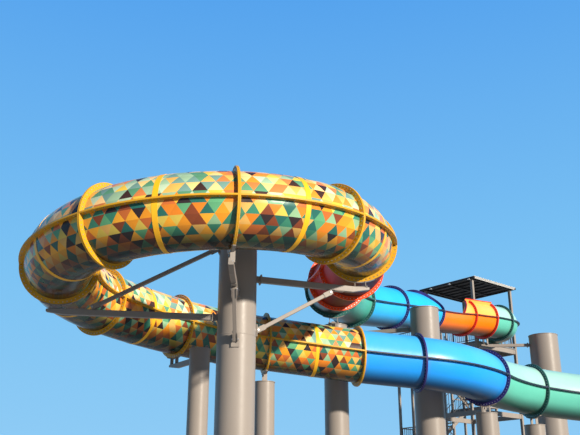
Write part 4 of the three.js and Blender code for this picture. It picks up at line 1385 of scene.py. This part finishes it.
# Details of the deck's frame: anchor bolts, and beam splices with their bolts
frame_details = Shape()
half_post = POST_SIDE / 2
post_places = [
    (deck_left + half_post, deck_front + half_post),
    (deck_right - half_post, deck_front + half_post),
    (deck_right - half_post, deck_back - half_post),
    (deck_left + half_post, deck_back - half_post),
]
splice_length, splice_width, splice_depth = SPLICE_SIZE
for u, v in post_places:
    post_anchors(frame_details, u, v, POST_SIDE)
    way_u = -1 if u > 0 else 1
    way_v = -1 if v > roof_middle else 1
    for level in range(BEAM_LEVELS):
        beam_top = deck_top - DECK_THICKNESS - JOINT_GAP - level * BEAM_SPACING
        for du, dv in ((way_u, 0), (0, way_v)):
            reach = half_post + SPLICE_OFFSET
            middle = (u + du * reach, v + dv * reach, beam_top - SPLICE_DROP)
            size = SPLICE_SIZE if du else (splice_width, splice_length, splice_depth)
            ends = [about(c, side / 2) for c, side in zip(middle, size)]
            deck_box(frame_details, *ends, "steel")
            across = (deck_point(dv, du, 0) - deck_point(0, 0, 0)).normalized()
            for shift in (-SPLICE_BOLT_OFFSET, SPLICE_BOLT_OFFSET):
                for lift in (-SPLICE_BOLT_OFFSET, SPLICE_BOLT_OFFSET):
                    spot = (middle[0] + abs(du) * shift, middle[1] + abs(dv) * shift, middle[2] + lift)
                    bolt(frame_details, deck_point(*spot), across, SPLICE_BOLT_REACH)
frame_details.make("deck_frame_splices")

# Stair: flights between two landing towers
flight_rise = deck_top / FLIGHTS
riser = flight_rise / RISERS
lane_front = deck_back + JOINT_GAP
lane_back = lane_front + 2 * STAIR_WIDTH + LANE_GAP


def tread(shape, near, far, vs, z):
    """Bar grating on three carriers, with a nosing at its front."""
    u0, u1 = sorted((near, far))
    for u in spread(u0 + CARRIER_HALF, u1 - CARRIER_HALF, GRATING_BARS):
        deck_box(shape, about(u, GRATING_HALF), vs, (z - GRATING_DEPTH, z - OVERLAP), "deck")
    for v in spread(vs[0] + CARRIER_HALF, vs[1] - CARRIER_HALF, 2):
        deck_box(shape, (u0, u1), about(v, CARRIER_HALF), (z - CARRIER_DEPTH, z - 2 * OVERLAP), "deck")
    back = far - math.copysign(NOSING_WIDTH, far - near)
    deck_box(shape, sorted((far, back)), vs, (z - NOSING_DEPTH, z), "nosing")


def flight(shape, u_top, u_foot, v_low, level):
    """Treads of bar grating between channel stringers, with a handrail and balusters on both sides."""
    way = math.copysign(1, u_foot - u_top)

    def line(u, lift):
        return level - abs(u - u_top) * riser / GOING - riser / 2 + lift

    v_left, v_right = v_low + STRINGER_INSET, v_low + STAIR_WIDTH - STRINGER_INSET
    for i in range(1, RISERS):
        near = u_top + way * ((i - 1) * GOING + TREAD_GAP)
        far = u_top + way * (i * GOING - TREAD_GAP)
        tread(shape, near, far, (v_left, v_right), level - i * riser)
    start, end = u_top + way * JOINT_GAP, u_foot - way * JOINT_GAP
    first, last = u_top + way * RAIL_END, u_foot - way * RAIL_END
    for v, inward in ((v_left, 1), (v_right, -1)):
        for low, high, width in STRINGER_PLATES:
            v0, v1 = sorted((v - inward * STRINGER_WEB / 2, v + inward * (width - STRINGER_WEB / 2)))
            rows = []
            for u in (start, end):
                foot, top = max(line(u, low), 0.0), max(line(u, high), STRINGER_TOE)
                corners = ((v0, foot), (v1, foot), (v1, top), (v0, top))
                rows.append([deck_point(u, across, z) for across, z in corners])
            loft(shape, rows, "steel")
        for lift, radius, sides in FLIGHT_RAILS:
            ends = [(u, v, line(u, lift)) for u in (first, last)]
            deck_rod(shape, *ends, radius, "dark_steel", sides)
        for k, u in enumerate(spread(first, last, FLIGHT_BALUSTERS)):
            radius = BALUSTER_RADIUS if k % FLIGHT_POST_EVERY else FLIGHT_POST_RADIUS
            ends = [(u, v, line(u, lift)) for lift in (FLIGHT_POST_FOOT, RAIL_LIFT)]
            deck_rod(shape, *ends, radius, "dark_steel", 8)


for i in range(FLIGHTS):
    u_top, u_foot = (stair_left, stair_right) if i % 2 == 0 else (stair_right, stair_left)
    lane = lane_front if i % 2 == 0 else lane_front + STAIR_WIDTH + LANE_GAP
    steps = Shape()
    flight(steps, u_top, u_foot, lane, deck_top - i * flight_rise)
    steps.make(f"stair_flight_{i + 1}_treads", (f"stair_flight_{i + 1}",))

# Balusters, landing boards and anchor bolts of the two stair towers
for name, u0, u1, outer, levels in (
    ("stair_tower_left", stair_left - LANDING_LENGTH, stair_left, -1, (0, 2)),
    ("stair_tower_right", stair_right, stair_right + LANDING_LENGTH, 1, (1, 3)),
):
    details = Shape()
    side = TOWER_POST / 2 + TOWER_INSET
    u_posts = (u0 + side, u1 - side)
    v_posts = (lane_front + side, lane_back - side)
    outer_u = u_posts[0] if outer < 0 else u_posts[1]
    us = (u0 + LANDING_BOARD_END, u1 - LANDING_BOARD_END)
    ends = (lane_front + LANDING_BOARD_INSET, lane_back - LANDING_BOARD_INSET)
    for flights_down in levels:
        base = deck_top - flights_down * flight_rise
        front, back = [[(u, v) for u in u_posts] for v in v_posts]
        sides = [[(outer_u, v) for v in v_posts], back]
        if flights_down:
            sides.append(front)
        for start, end in sides:
            balusters(details, start, end, base, base + RAIL_HEIGHT - RAIL_SIDE, "dark_steel")
        for vs in bays(*ends, LANDING_BOARDS, LANDING_BOARD_GAP):
            deck_box(details, us, vs, (base - OVERLAP, base + LANDING_BOARD_HEIGHT), "deck")
    for u in u_posts:
        for v in v_posts:
            post_anchors(details, u, v, TOWER_POST)
    details.make(f"{name}_balusters")

# CAD nodes that stay, in better paint
for name in ("deck_frame", "stair_tower_left", "stair_tower_right"):
    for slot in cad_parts[name].material_slots:
        slot.material = LOOKS["steel"]


# Camera, light and floor

def aimed(name, data, spot, ahead):
    """A camera or a lamp at one spot, looking ahead."""
    made = linked(name, data)
    made.matrix_world = Matrix.Translation(spot) @ ahead.to_track_quat("-Z", "Y").to_matrix().to_4x4()
    return made


def add_camera():
    data = bpy.data.cameras.new("photo_camera")
    data.sensor_fit = "HORIZONTAL"
    data.sensor_width = SENSOR_WIDTH
    data.lens = FOCAL_PIXELS * SENSOR_WIDTH / IMAGE_WIDTH
    data.clip_end = CAMERA_REACH
    heading, pitch = math.radians(CAMERA_HEADING), math.radians(CAMERA_PITCH)
    level = math.cos(pitch)
    ahead = Vector((math.sin(heading) * level, math.cos(heading) * level, math.sin(pitch)))
    bpy.context.scene.camera = aimed("photo_camera", data, CAMERA_PLACE, ahead)


def add_light():
    world = bpy.data.worlds.new("studio")
    world.use_nodes = True
    tree = world.node_tree
    direction = node(tree, "ShaderNodeTexCoord").outputs["Generated"]
    parts = node(tree, "ShaderNodeSeparateXYZ", {"Vector": direction}).outputs
    sky = tree.nodes["Background"]
    tree.links.new(ramp(tree, parts["Z"], SKY_SHADES), sky.inputs["Color"])
    tree.links.new(smooth_range(tree, parts["Y"], SKY_STRENGTH), sky.inputs["Strength"])
    bpy.context.scene.world = world
    data = bpy.data.lights.new("key", "SUN")
    data.energy = SUN_STRENGTH
    data.angle = SUN_WIDTH
    data.color = SUN_COLOUR
    aimed("key", data, (0, 0, 0), Vector(SUN_DIRECTION))


def add_floor():
    mesh = bpy.data.meshes.new("floor")
    ways = ((-1, -1), (1, -1), (1, 1), (-1, 1))
    corners = [(x * FLOOR_REACH, y * FLOOR_REACH, FLOOR_LEVEL) for x, y in ways]
    mesh.from_pydata(corners, [], [(0, 1, 2, 3)])
    mesh.materials.append(shader("floor", FLOOR_COLOUR, roughness=0.8)[0])
    linked("floor", mesh)


add_camera()
add_light()
add_floor()
bpy.context.scene.view_settings.view_transform = "Standard"
